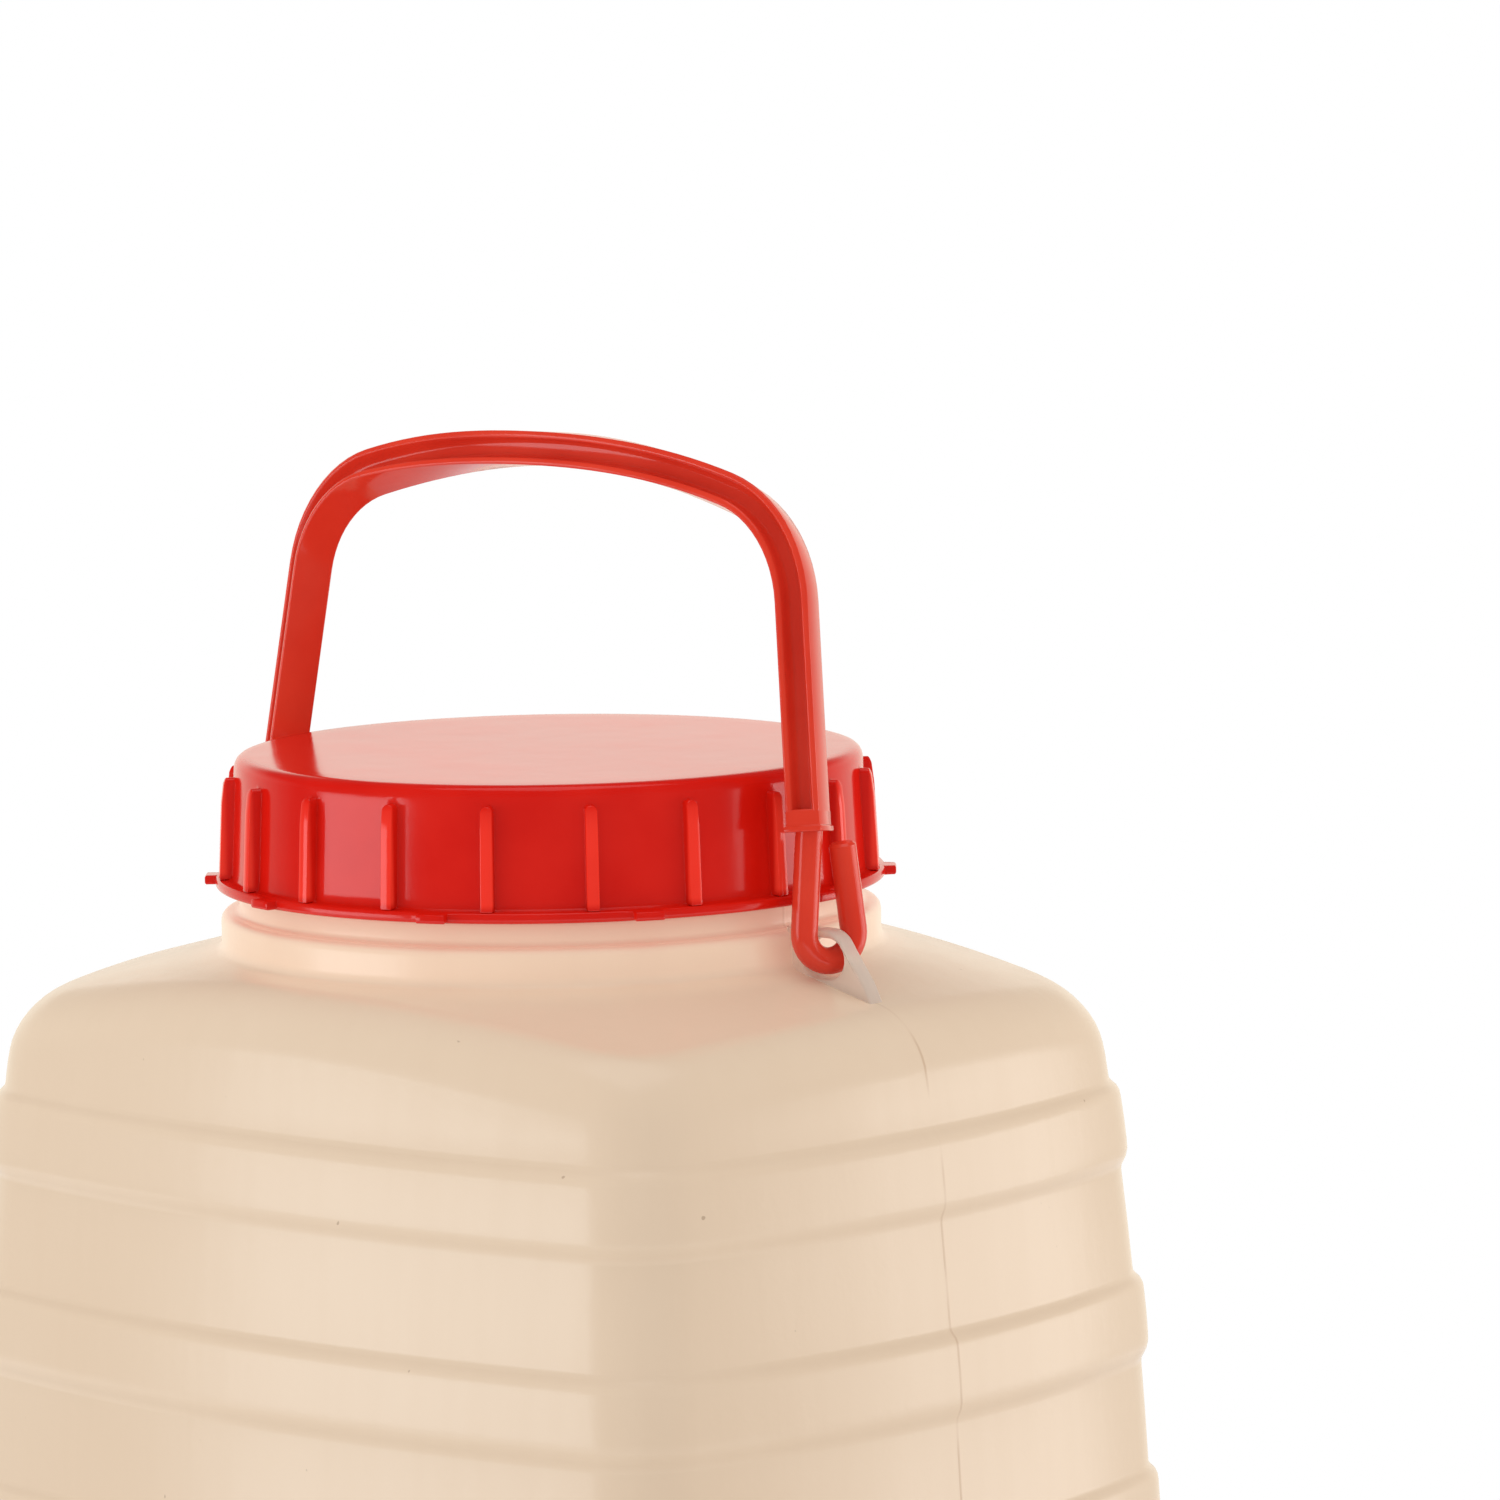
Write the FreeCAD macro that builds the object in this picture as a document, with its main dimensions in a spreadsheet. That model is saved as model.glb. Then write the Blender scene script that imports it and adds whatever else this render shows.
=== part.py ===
import FreeCAD, Part
import Sketcher
import os
from math import asin, cos, radians, sin, sqrt, tan

from FreeCAD import Placement, Rotation, Vector

# Wide-mouth drink keg: a blow-moulded bottle with a rectangular, bowed body, raised hoops and two
# pierced lugs, a ribbed screw cap, and a carrying bail whose hooks swing in the lugs.
# +Z is up, +X runs through one lug, and the origin is the middle of the flat foot.

doc = FreeCAD.newDocument("drink_keg")

# ---------------------------------------------------------------------------------------------
# Driving sizes, in millimetres and degrees
# ---------------------------------------------------------------------------------------------

SIZES = [
    ("Bottle", None),
    ("bottle_length", 196.0),      # along X, from crown to crown of the bowed lug faces
    ("bottle_width", 163.0),       # along Y
    ("mouth_level", 300.0),        # height of the cap's lower edge
    ("belly_draw", 11.7),          # how far the wall draws in from half height to the foot
    ("lug_face_radius", 220.0),    # bow of the faces that carry the lugs
    ("long_face_radius", 369.0),   # bow of the other two faces
    ("corner_radius", 18.5),
    ("shoulder_slope", 14.6),
    ("shoulder_radius", 12.0),
    ("foot_radius", 7.0),
    ("foot_recess", 3.0),
    ("foot_rim", 16.0),
    ("Hoops", None),
    ("hoop_top", 37.8),            # of the first hoop, below the mouth level
    ("hoop_pitch", 35.8),
    ("hoop_height", 15.8),
    ("hoop_proud", 1.5),
    ("hoop_rise", 2.6),            # height over which a hoop stands out at its upper edge
    ("Neck", None),
    ("collar_step", 1.8),          # of the collar, outside the cap's skirt
    ("collar_drop", 4.6),          # top of the collar, below the mouth level
    ("collar_base_drop", 11.5),    # where the shoulder meets the collar
    ("collar_round", 1.4),
    ("collar_sweep", 2.0),
    ("neck_step", 1.6),            # of the neck, inside the skirt's outer face
    ("neck_drop", 0.6),
    ("mouth_step", 2.2),           # of the mouth, inside the skirt's inner face
    ("Lugs", None),
    ("lug_drop", 4.6),             # middle of the hook, below the mouth level
    ("lug_thickness", 3.5),
    ("strap_height", 1.5),
    ("hook_clear", 0.7),           # under the hook, in the lug's slot
    ("hook_side", 1.7),            # beside the hook, in the lug's slot
    ("lug_wall", 2.0),
    ("lug_outer_slope", 27.0),
    ("lug_round", 5.0),
    ("Cap", None),
    ("cap_height", 24.0),
    ("cap_radius", 58.6),          # of the skirt at its lower edge
    ("cap_draft", 1.2),
    ("cap_wall", 2.4),
    ("cap_top", 2.6),
    ("cap_round", 2.0),
    ("rib_count", 20),
    ("rib_width", 2.1),
    ("rib_proud", 2.3),
    ("rib_top", 20.6),
    ("rib_ease", 0.87),            # share of its projection that a rib's top is rounded by
    ("cap_turn", -3.7),            # how the cap happens to be screwed down
    ("flange_thickness", 1.9),
    ("flange_proud", 2.6),
    ("tab_count", 10),
    ("tab_width", 5.2),
    ("tab_proud", 2.0),
    ("tab_round", 1.2),
    ("Bail", None),
    ("crown_height", 83.2),        # centre line of the grip above the hook's middle
    ("crown_radius", 165.0),
    ("shoulder_bend", 20.0),
    ("leg_splay", 4.5),
    ("grip_depth", 6.2),
    ("grip_width", 7.2),
    ("grip_flange", 1.25),
    ("grip_web", 1.3),
    ("twist_near", 24.0),          # turn of the leg over the +X lug
    ("twist_far", 36.0),           # turn of the leg over the other lug
    ("collar_level", 18.0),        # underside of the leg's end block above the hook's middle
    ("end_block", 4.0),
    ("end_lip", 0.9),
    ("end_lip_proud", 0.35),
    ("rod_diameter", 4.9),
    ("rod_clear", 4.95),           # from the cap's skirt to the rod
    ("hook_bore", 2.55),           # inner radius of the hook's bend
    ("hook_turn", 20.0),           # of the hook's plane away from square to the lug
    ("hook_lean", 11.5),
    ("hook_tail", 15.5),
    ("tip_chamfer", 0.6),
    ("bail_lean", 5.2),            # how far the bail stands back from upright
]

sheet = doc.addObject("Spreadsheet::Sheet", "Sizes")
for row, (name, value) in enumerate(SIZES, start=1):
    sheet.set(f"A{row}", name)
    if value is not None:
        sheet.set(f"B{row}", str(value))
        sheet.setAlias(f"B{row}", name)
doc.recompute()


def size(name):
    """A number from the sheet."""
    return float(sheet.get(name))


def bind(target, **expressions):
    """Bind properties of a document object to the sheet."""
    for prop, expression in expressions.items():
        target.setExpression(prop, expression)


def feature(name, shape):
    """A document object that holds a shape made by a function."""
    made = doc.addObject("Part::Feature", name)
    made.Shape = shape
    return made


# ---------------------------------------------------------------------------------------------
# Bottle: the bowed wall with its hoops
# ---------------------------------------------------------------------------------------------

MOUTH = size("mouth_level")
NEAR = 0.05   # an edge or a point this close to a surface lies on it


def bowed_rectangle(half_x, half_y, level):
    """A closed wire of four bowed faces and four corner arcs that run smoothly into them."""
    face_x = size("lug_face_radius")
    face_y = size("long_face_radius")
    corner = size("corner_radius")
    # The corner's centre lies at (face radius - corner radius) from both faces' centres.
    centre_x = Vector(half_x - face_x, 0, level)
    centre_y = Vector(0, half_y - face_y, level)
    reach_x = face_x - corner
    reach_y = face_y - corner
    apart = centre_y - centre_x
    along = (reach_x**2 - reach_y**2 + apart.Length**2) / (2 * apart.Length)
    across = sqrt(reach_x**2 - along**2)
    step = apart.normalize()
    side = Vector(-step.y, step.x, 0)
    middle = centre_x + step * along + side * across
    if middle.x < 0 or middle.y < 0:
        middle = centre_x + step * along - side * across
    on_x = centre_x + (middle - centre_x).normalize() * face_x
    on_y = centre_y + (middle - centre_y).normalize() * face_y
    bulge = middle + ((on_x - middle) + (on_y - middle)).normalize() * corner

    def mirrored(point, sx, sy):
        return Vector(point.x * sx, point.y * sy, point.z)

    edges = []
    crown_x = Vector(half_x, 0, level)
    crown_y = Vector(0, half_y, level)
    turns = [(1, 1), (-1, 1), (-1, -1), (1, -1)]
    for index, (sx, sy) in enumerate(turns):
        first, last = (on_x, on_y) if index % 2 == 0 else (on_y, on_x)
        nx, ny = turns[(index + 1) % 4]
        edges.append(Part.Arc(mirrored(first, sx, sy), mirrored(bulge, sx, sy), mirrored(last, sx, sy)))
        crown = crown_y if index % 2 == 0 else crown_x
        middle_of_face = mirrored(crown, sx, sy) if crown is crown_x else mirrored(crown, 1, sy)
        edges.append(Part.Arc(mirrored(last, sx, sy), middle_of_face, mirrored(last, nx, ny)))
    return Part.Wire([edge.toShape() for edge in edges])


def wall_section(level, proud):
    """The wall's outline at one height: the barrel's curve, plus how far a hoop stands out."""
    belly = MOUTH / 2
    fall = size("belly_draw") * ((level - belly) / belly) ** 2
    half_x = size("bottle_length") / 2 - fall + proud
    half_y = size("bottle_width") / 2 - fall + proud
    return bowed_rectangle(half_x, half_y, level)


def hoop_levels():
    """Heights and projections of the wall's sections, from the neck down to the foot.

    There are as many hoops as fit above the foot's rounding."""
    rise = size("hoop_rise")
    proud = size("hoop_proud")
    room = MOUTH - size("hoop_top") - size("hoop_height") - 2 * size("foot_radius")
    stations = [(MOUTH - size("collar_drop"), 0.0)]
    for index in range(int(room / size("hoop_pitch")) + 1):
        top = MOUTH - size("hoop_top") - index * size("hoop_pitch")
        bottom = top - size("hoop_height")
        stations += [(top, 0.0), (top - rise, proud), (bottom + rise / 2, proud), (bottom, 0.0)]
    stations.append((0.0, 0.0))
    return stations


sections = []
for index, (level, proud) in enumerate(hoop_levels()):
    sections.append(feature(f"wall_section_{index}", wall_section(level, proud)))

wall = doc.addObject("Part::Loft", "wall")
wall.Sections = sections
wall.Solid = True
wall.Ruled = True

# The shoulder is a shallow cone that the wall is cut off under; it runs out past the corners.
COLLAR = "(Sizes.cap_radius + Sizes.collar_step)"
shoulder_fall = f"(Sizes.bottle_length - {COLLAR}) * tan(Sizes.shoulder_slope * 1deg)"
cone = doc.addObject("Part::Cone", "shoulder_cone")
bind(cone, Radius2=COLLAR, Radius1="Sizes.bottle_length", Height=shoulder_fall)
bind(cone, **{"Placement.Base.z": f"Sizes.mouth_level - Sizes.collar_base_drop - {shoulder_fall}"})
below = doc.addObject("Part::Cylinder", "shoulder_below")
bind(
    below,
    Radius="Sizes.bottle_length",
    Height=f"Sizes.mouth_level - Sizes.collar_base_drop - {shoulder_fall}",
)
under = doc.addObject("Part::Fuse", "under_shoulder")
under.Base = below
under.Tool = cone
blank = doc.addObject("Part::Common", "bottle_blank")
blank.Base = wall
blank.Tool = under
doc.recompute()


collar_radius = size("cap_radius") + size("collar_step")


def edges_where(shape, test):
    """Numbers of the edges whose middle point passes the test."""
    found = []
    for number, edge in enumerate(shape.Edges, start=1):
        middle = edge.valueAt((edge.FirstParameter + edge.LastParameter) / 2)
        if test(edge, middle):
            found.append(number)
    return found


def on_cone(edge, middle):
    """The ring where the shoulder's cone leaves the wall."""
    run = sqrt(middle.x**2 + middle.y**2) - collar_radius
    cone_level = MOUTH - size("collar_base_drop") - run * tan(radians(size("shoulder_slope")))
    return abs(middle.z - cone_level) < NEAR and run > NEAR


def round_edges(name, base, groups):
    """A fillet object; each group is a radius from the sheet and the edges that get it."""
    made = doc.addObject("Part::Fillet", name)
    made.Base = base
    made.Edges = [(number, radius, radius) for radius, numbers in groups for number in numbers]
    return made


shoulder_ring = edges_where(blank.Shape, on_cone)
foot_ring = edges_where(blank.Shape, lambda edge, middle: abs(middle.z) < NEAR)
rounded = round_edges(
    "bottle_rounded",
    blank,
    [(size("shoulder_radius"), shoulder_ring), (size("foot_radius"), foot_ring)],
)

# The foot is drawn up inside a rim, so that the bottle stands on the rim.
recess_sections = []
for level, inset in (
    (-size("foot_recess"), size("foot_rim")),
    (size("foot_recess"), size("foot_rim") + size("foot_recess")),
):
    recess_sections.append(feature(f"recess_section_{len(recess_sections)}", wall_section(0.0, -inset)))
    recess_sections[-1].Placement.Base.z = level
recess = doc.addObject("Part::Loft", "foot_recess")
recess.Sections = recess_sections
recess.Solid = True
recess.Ruled = True
standing = doc.addObject("Part::Cut", "bottle_standing")
standing.Base = rounded
standing.Tool = recess


# ---------------------------------------------------------------------------------------------
# Sketch helpers
# ---------------------------------------------------------------------------------------------

def plane_of(body, role):
    """One of a body's own origin planes."""
    return next(item for item in body.Origin.OriginFeatures if item.Role == role)


def sketch_on(body, name, role):
    """A sketch on one of the body's origin planes."""
    made = body.newObject("Sketcher::SketchObject", name)
    made.AttachmentSupport = [(plane_of(body, role), "")]
    made.MapMode = "FlatFace"
    return made


def closed_outline(sketch, corners):
    """A polygon whose corners are pairs of expressions on the sheet."""
    numbers = [[sketch.evalExpression(part) for part in corner] for corner in corners]
    numbers = [[float(getattr(value, "Value", value)) for value in pair] for pair in numbers]
    count = len(corners)
    for index in range(count):
        start = Vector(*numbers[index], 0)
        end = Vector(*numbers[(index + 1) % count], 0)
        sketch.addGeometry(Part.LineSegment(start, end), False)
    for index in range(count):
        sketch.addConstraint(Sketcher.Constraint("Coincident", index, 2, (index + 1) % count, 1))
    for index, corner in enumerate(corners):
        for kind, value, text in zip(("DistanceX", "DistanceY"), numbers[index], corner):
            number = sketch.addConstraint(Sketcher.Constraint(kind, -1, 1, index, 1, value))
            sketch.setExpression(f"Constraints[{number}]", text)


# ---------------------------------------------------------------------------------------------
# Bottle: neck, collar and lugs
# ---------------------------------------------------------------------------------------------

neck = doc.addObject("PartDesign::Body", "neck")
neck_outline = sketch_on(neck, "neck_outline", "XZ_Plane")
neck_foot = "Sizes.mouth_level - 2 * Sizes.collar_base_drop"
neck_wall = "Sizes.cap_radius - Sizes.neck_step"
mouth_wall = "Sizes.cap_radius - Sizes.cap_wall - Sizes.mouth_step"
collar_top = "Sizes.mouth_level - Sizes.collar_drop"
step_top = "Sizes.mouth_level - Sizes.neck_drop"
mouth_top = "Sizes.mouth_level + Sizes.cap_height - Sizes.cap_top"
closed_outline(neck_outline, [
    ("0", neck_foot),
    (COLLAR, neck_foot),
    (COLLAR, collar_top),
    (neck_wall, collar_top),
    (neck_wall, step_top),
    (mouth_wall, step_top),
    (mouth_wall, mouth_top),
    ("0", mouth_top),
])
neck_turn = neck.newObject("PartDesign::Revolution", "neck_turn")
neck_turn.Profile = neck_outline
neck_turn.ReferenceAxis = (neck_outline, ["V_Axis"])
neck_turn.Angle = 360

core = doc.addObject("Part::Fuse", "bottle_core")
core.Base = standing
core.Tool = neck
doc.recompute()


def ring_at(radius, level):
    """Test for full circles of one radius at one height."""
    def test(edge, middle):
        away = sqrt(middle.x**2 + middle.y**2)
        return abs(away - radius) < NEAR and abs(middle.z - level) < NEAR
    return test


collar_rounded = round_edges("collar_rounded", core, [
    (size("collar_round"), edges_where(
        core.Shape, ring_at(collar_radius, MOUTH - size("collar_drop")))),
    (size("collar_sweep"), edges_where(
        core.Shape, ring_at(collar_radius, MOUTH - size("collar_base_drop")))),
])

# A lug is a flat fin in the plane of the mould's joint, with a slot for the hook.
lug = doc.addObject("PartDesign::Body", "lug")
fin_outline = sketch_on(lug, "fin_outline", "XZ_Plane")
fin_top = "Sizes.mouth_level - Sizes.lug_drop + Sizes.strap_height / 2"
hook_radius = "(Sizes.hook_bore + Sizes.rod_diameter / 2)"
rod_reach = "(Sizes.rod_clear + Sizes.rod_diameter / 2)"
hook_x = f"(Sizes.cap_radius + {rod_reach} + {hook_radius} * sin(Sizes.hook_turn * 1deg))"
slot_height = f"({hook_radius} + (Sizes.rod_diameter - Sizes.strap_height) / 2 + Sizes.hook_clear)"
slot_width = "(Sizes.rod_diameter + Sizes.lug_thickness * tan(Sizes.hook_turn * 1deg) + 2 * Sizes.hook_side)"
slot_end = f"{hook_x} + {slot_width} / 2 + Sizes.lug_wall"
lean = "tan(Sizes.lug_outer_slope * 1deg)"
slot_middle = f"(Sizes.strap_height + {slot_height}) / 2"
closed_outline(fin_outline, [
    (mouth_wall, neck_foot),
    (f"{slot_end} + (2 * Sizes.collar_base_drop - Sizes.lug_drop - {slot_middle}) * {lean}", neck_foot),
    (f"{slot_end} - ({slot_middle} + Sizes.strap_height / 2) * {lean}", fin_top),
    (mouth_wall, fin_top),
])
fin = lug.newObject("PartDesign::Pad", "fin")
fin.Profile = fin_outline
fin.Midplane = True
bind(fin, Length="Sizes.lug_thickness")
doc.recompute()
fin_corner = [
    f"Edge{number}" for number, edge in enumerate(fin.Shape.Edges, start=1)
    if abs(edge.Length - size("lug_thickness")) < NEAR
    and edge.CenterOfMass.x > collar_radius
    and edge.CenterOfMass.z > MOUTH - size("lug_drop")
]
fin_round = lug.newObject("PartDesign::Fillet", "fin_round")
fin_round.Base = (fin, fin_corner)
bind(fin_round, Radius="Sizes.lug_round")

slot = sketch_on(lug, "slot", "XZ_Plane")
hook_turn = radians(size("hook_turn"))
reach = size("hook_bore") + size("rod_diameter") / 2
ROD_X = size("cap_radius") + size("rod_clear") + size("rod_diameter") / 2
HOOK_X = ROD_X + reach * sin(hook_turn)
HOOK_LEVEL = MOUTH - size("lug_drop")
high = reach + (size("rod_diameter") - size("strap_height")) / 2 + size("hook_clear")
long = size("rod_diameter") + size("lug_thickness") * tan(hook_turn) + 2 * size("hook_side")
half_straight = (long - high) / 2
slot_level = HOOK_LEVEL - (size("strap_height") + high) / 2
slot_ends = []
for side, start in ((-1, radians(90)), (1, radians(-90))):
    circle = Part.Circle(Vector(HOOK_X + side * half_straight, slot_level, 0), Vector(0, 0, 1), high / 2)
    slot_ends.append(slot.addGeometry(Part.ArcOfCircle(circle, start, start + radians(180)), False))
slot_sides = []
for side in (1, -1):
    ends = [
        Vector(HOOK_X + way * half_straight, slot_level + side * high / 2, 0) for way in (side, -side)
    ]
    slot_sides.append(slot.addGeometry(Part.LineSegment(*ends), False))
left_end, right_end = slot_ends
top_line, base_line = slot_sides
slot.addConstraint(Sketcher.Constraint("Tangent", right_end, 2, top_line, 1))
slot.addConstraint(Sketcher.Constraint("Tangent", top_line, 2, left_end, 1))
slot.addConstraint(Sketcher.Constraint("Tangent", left_end, 2, base_line, 1))
slot.addConstraint(Sketcher.Constraint("Tangent", base_line, 2, right_end, 1))
slot.addConstraint(Sketcher.Constraint("Horizontal", top_line))
for kind, target, value, text in (
    ("Radius", (left_end,), high / 2, f"{slot_height} / 2"),
    ("DistanceX", (-1, 1, left_end, 3), HOOK_X - half_straight,
     f"{hook_x} - ({slot_width} - {slot_height}) / 2"),
    ("DistanceX", (-1, 1, right_end, 3), HOOK_X + half_straight,
     f"{hook_x} + ({slot_width} - {slot_height}) / 2"),
    ("DistanceY", (-1, 1, left_end, 3), slot_level,
     f"Sizes.mouth_level - Sizes.lug_drop - {slot_middle}"),
):
    number = slot.addConstraint(Sketcher.Constraint(kind, *target, value))
    slot.setExpression(f"Constraints[{number}]", text)
lug_hole = lug.newObject("PartDesign::Pocket", "lug_hole")
lug_hole.Profile = slot
lug_hole.Type = 1
lug_hole.Midplane = True
lug.Tip = lug_hole

far_lug = doc.addObject("Part::Mirroring", "far_lug")
far_lug.Source = lug
far_lug.Normal = Vector(1, 0, 0)

bottle = doc.addObject("Part::MultiFuse", "bottle")
bottle.Shapes = [collar_rounded, lug, far_lug]
doc.recompute()

# ---------------------------------------------------------------------------------------------
# Cap
# ---------------------------------------------------------------------------------------------

cap = doc.addObject("PartDesign::Body", "cap")
shell_outline = sketch_on(cap, "shell_outline", "XZ_Plane")
top_radius = "Sizes.cap_radius - Sizes.cap_draft"
closed_outline(shell_outline, [
    ("0", "Sizes.cap_height - Sizes.cap_top"),
    (f"{top_radius} - Sizes.cap_wall", "Sizes.cap_height - Sizes.cap_top"),
    ("Sizes.cap_radius - Sizes.cap_wall", "0"),
    ("Sizes.cap_radius", "0"),
    (top_radius, "Sizes.cap_height"),
    ("0", "Sizes.cap_height"),
])
shell = cap.newObject("PartDesign::Revolution", "shell")
shell.Profile = shell_outline
shell.ReferenceAxis = (shell_outline, ["V_Axis"])
shell.Angle = 360
doc.recompute()
cap_edge = cap.newObject("PartDesign::Fillet", "cap_edge")
cap_edge.Base = (shell, [
    f"Edge{number}" for number, edge in enumerate(shell.Shape.Edges, start=1)
    if abs(edge.CenterOfMass.z - size("cap_height")) < NEAR and edge.Length > size("cap_radius")
])
bind(cap_edge, Radius="Sizes.cap_round")
doc.recompute()

# One rib is a blade with a round top; the pattern of blades is then turned down to size.
rib_outline = sketch_on(cap, "rib_outline", "YZ_Plane")
bind(rib_outline, **{"AttachmentOffset.Base.z": "Sizes.cap_radius - Sizes.cap_wall"})
half_rib = size("rib_width") / 2
crest = size("rib_top") - half_rib
rib_base = size("flange_thickness") / 2
crest_circle = Part.Circle(Vector(0, crest, 0), Vector(0, 0, 1), half_rib)
rib_arc = rib_outline.addGeometry(Part.ArcOfCircle(crest_circle, 0, radians(180)), False)
rib_corners = [
    Vector(-half_rib, crest, 0),
    Vector(-half_rib, rib_base, 0),
    Vector(half_rib, rib_base, 0),
    Vector(half_rib, crest, 0),
]
rib_left, rib_foot, rib_right = [
    rib_outline.addGeometry(Part.LineSegment(start, end), False)
    for start, end in zip(rib_corners, rib_corners[1:])
]
rib_outline.addConstraint(Sketcher.Constraint("Tangent", rib_arc, 2, rib_left, 1))
rib_outline.addConstraint(Sketcher.Constraint("Tangent", rib_right, 2, rib_arc, 1))
rib_outline.addConstraint(Sketcher.Constraint("Coincident", rib_left, 2, rib_foot, 1))
rib_outline.addConstraint(Sketcher.Constraint("Coincident", rib_foot, 2, rib_right, 1))
rib_outline.addConstraint(Sketcher.Constraint("Vertical", rib_left))
rib_outline.addConstraint(Sketcher.Constraint("Horizontal", rib_foot))
rib_outline.addConstraint(Sketcher.Constraint("PointOnObject", rib_arc, 3, -2))
for kind, target, value, text in (
    ("Radius", (rib_arc,), half_rib, "Sizes.rib_width / 2"),
    ("DistanceY", (-1, 1, rib_arc, 3), crest, "Sizes.rib_top - Sizes.rib_width / 2"),
    ("DistanceY", (-1, 1, rib_foot, 1), rib_base, "Sizes.flange_thickness / 2"),
):
    number = rib_outline.addConstraint(Sketcher.Constraint(kind, *target, value))
    rib_outline.setExpression(f"Constraints[{number}]", text)
rib = cap.newObject("PartDesign::Pad", "rib")
rib.Profile = rib_outline
bind(rib, Length="Sizes.cap_wall + 2 * Sizes.rib_proud")
doc.recompute()
ribs = cap.newObject("PartDesign::PolarPattern", "ribs")
ribs.Originals = [rib]
ribs.Axis = (shell_outline, ["V_Axis"])
ribs.Angle = 360
bind(ribs, Occurrences="Sizes.rib_count")
cap.Tip = ribs
doc.recompute()

trim_outline = sketch_on(cap, "trim_outline", "XZ_Plane")
rib_drawn = "Sizes.cap_draft * Sizes.rib_top / Sizes.cap_height"
rib_face = f"Sizes.cap_radius - {rib_drawn} + Sizes.rib_proud"
rib_round = "Sizes.rib_ease * Sizes.rib_proud"
rib_chord = f"{rib_round} * (1 - cos(45deg))"
beyond = "Sizes.cap_radius + 3 * Sizes.rib_proud"
closed_outline(trim_outline, [
    ("Sizes.cap_radius + Sizes.rib_proud", "0"),
    (beyond, "0"),
    (beyond, f"Sizes.rib_top + {rib_round}"),
    (f"{rib_face} - {rib_round}", f"Sizes.rib_top + {rib_round}"),
    (f"{rib_face} - {rib_round}", "Sizes.rib_top"),
    (f"{rib_face} - {rib_chord}", f"Sizes.rib_top - {rib_chord}"),
    (rib_face, f"Sizes.rib_top - {rib_round}"),
])
trim = cap.newObject("PartDesign::Groove", "trim")
trim.Profile = trim_outline
trim.ReferenceAxis = (trim_outline, ["V_Axis"])
trim.Angle = 360
cap.Tip = trim
doc.recompute()

flange_outline = sketch_on(cap, "flange_outline", "XZ_Plane")
closed_outline(flange_outline, [
    ("Sizes.cap_radius - Sizes.cap_wall / 2", "0"),
    ("Sizes.cap_radius + Sizes.flange_proud", "0"),
    ("Sizes.cap_radius + Sizes.flange_proud", "Sizes.flange_thickness"),
    ("Sizes.cap_radius - Sizes.cap_wall / 2", "Sizes.flange_thickness"),
])
flange = cap.newObject("PartDesign::Revolution", "flange")
flange.Profile = flange_outline
flange.ReferenceAxis = (flange_outline, ["V_Axis"])
flange.Angle = 360
doc.recompute()

tab_outline = sketch_on(cap, "tab_outline", "XY_Plane")
tab_outline.AttachmentOffset = Placement(Vector(), Rotation(Vector(0, 0, 1), 180 / size("rib_count")))
bind(tab_outline, **{"AttachmentOffset.Rotation.Angle": "180deg / Sizes.rib_count"})
tab_reach = "Sizes.cap_radius + Sizes.flange_proud + Sizes.tab_proud"
closed_outline(tab_outline, [
    ("Sizes.cap_radius", "-Sizes.tab_width / 2"),
    (f"{tab_reach} - Sizes.tab_round", "-Sizes.tab_width / 2"),
    (tab_reach, "-Sizes.tab_width / 2 + Sizes.tab_round"),
    (tab_reach, "Sizes.tab_width / 2 - Sizes.tab_round"),
    (f"{tab_reach} - Sizes.tab_round", "Sizes.tab_width / 2"),
    ("Sizes.cap_radius", "Sizes.tab_width / 2"),
])
tab = cap.newObject("PartDesign::Pad", "tab")
tab.Profile = tab_outline
bind(tab, Length="Sizes.flange_thickness")
doc.recompute()
tabs = cap.newObject("PartDesign::PolarPattern", "tabs")
tabs.Originals = [tab]
tabs.Axis = (shell_outline, ["V_Axis"])
tabs.Angle = 360
bind(tabs, Occurrences="Sizes.tab_count")
cap.Tip = tabs
cap.Placement = Placement(Vector(0, 0, MOUTH), Rotation(Vector(0, 0, 1), size("cap_turn")))
bind(cap, **{"Placement.Base.z": "Sizes.mouth_level"})
doc.recompute()

# ---------------------------------------------------------------------------------------------
# Bail: the twisted grip, its end blocks and the hooks
# ---------------------------------------------------------------------------------------------

ROD_Y = -reach * cos(hook_turn)


def eased(share):
    """A share from 0 to 1 that starts and ends gently."""
    return share**2 * (3 - 2 * share)


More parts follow.
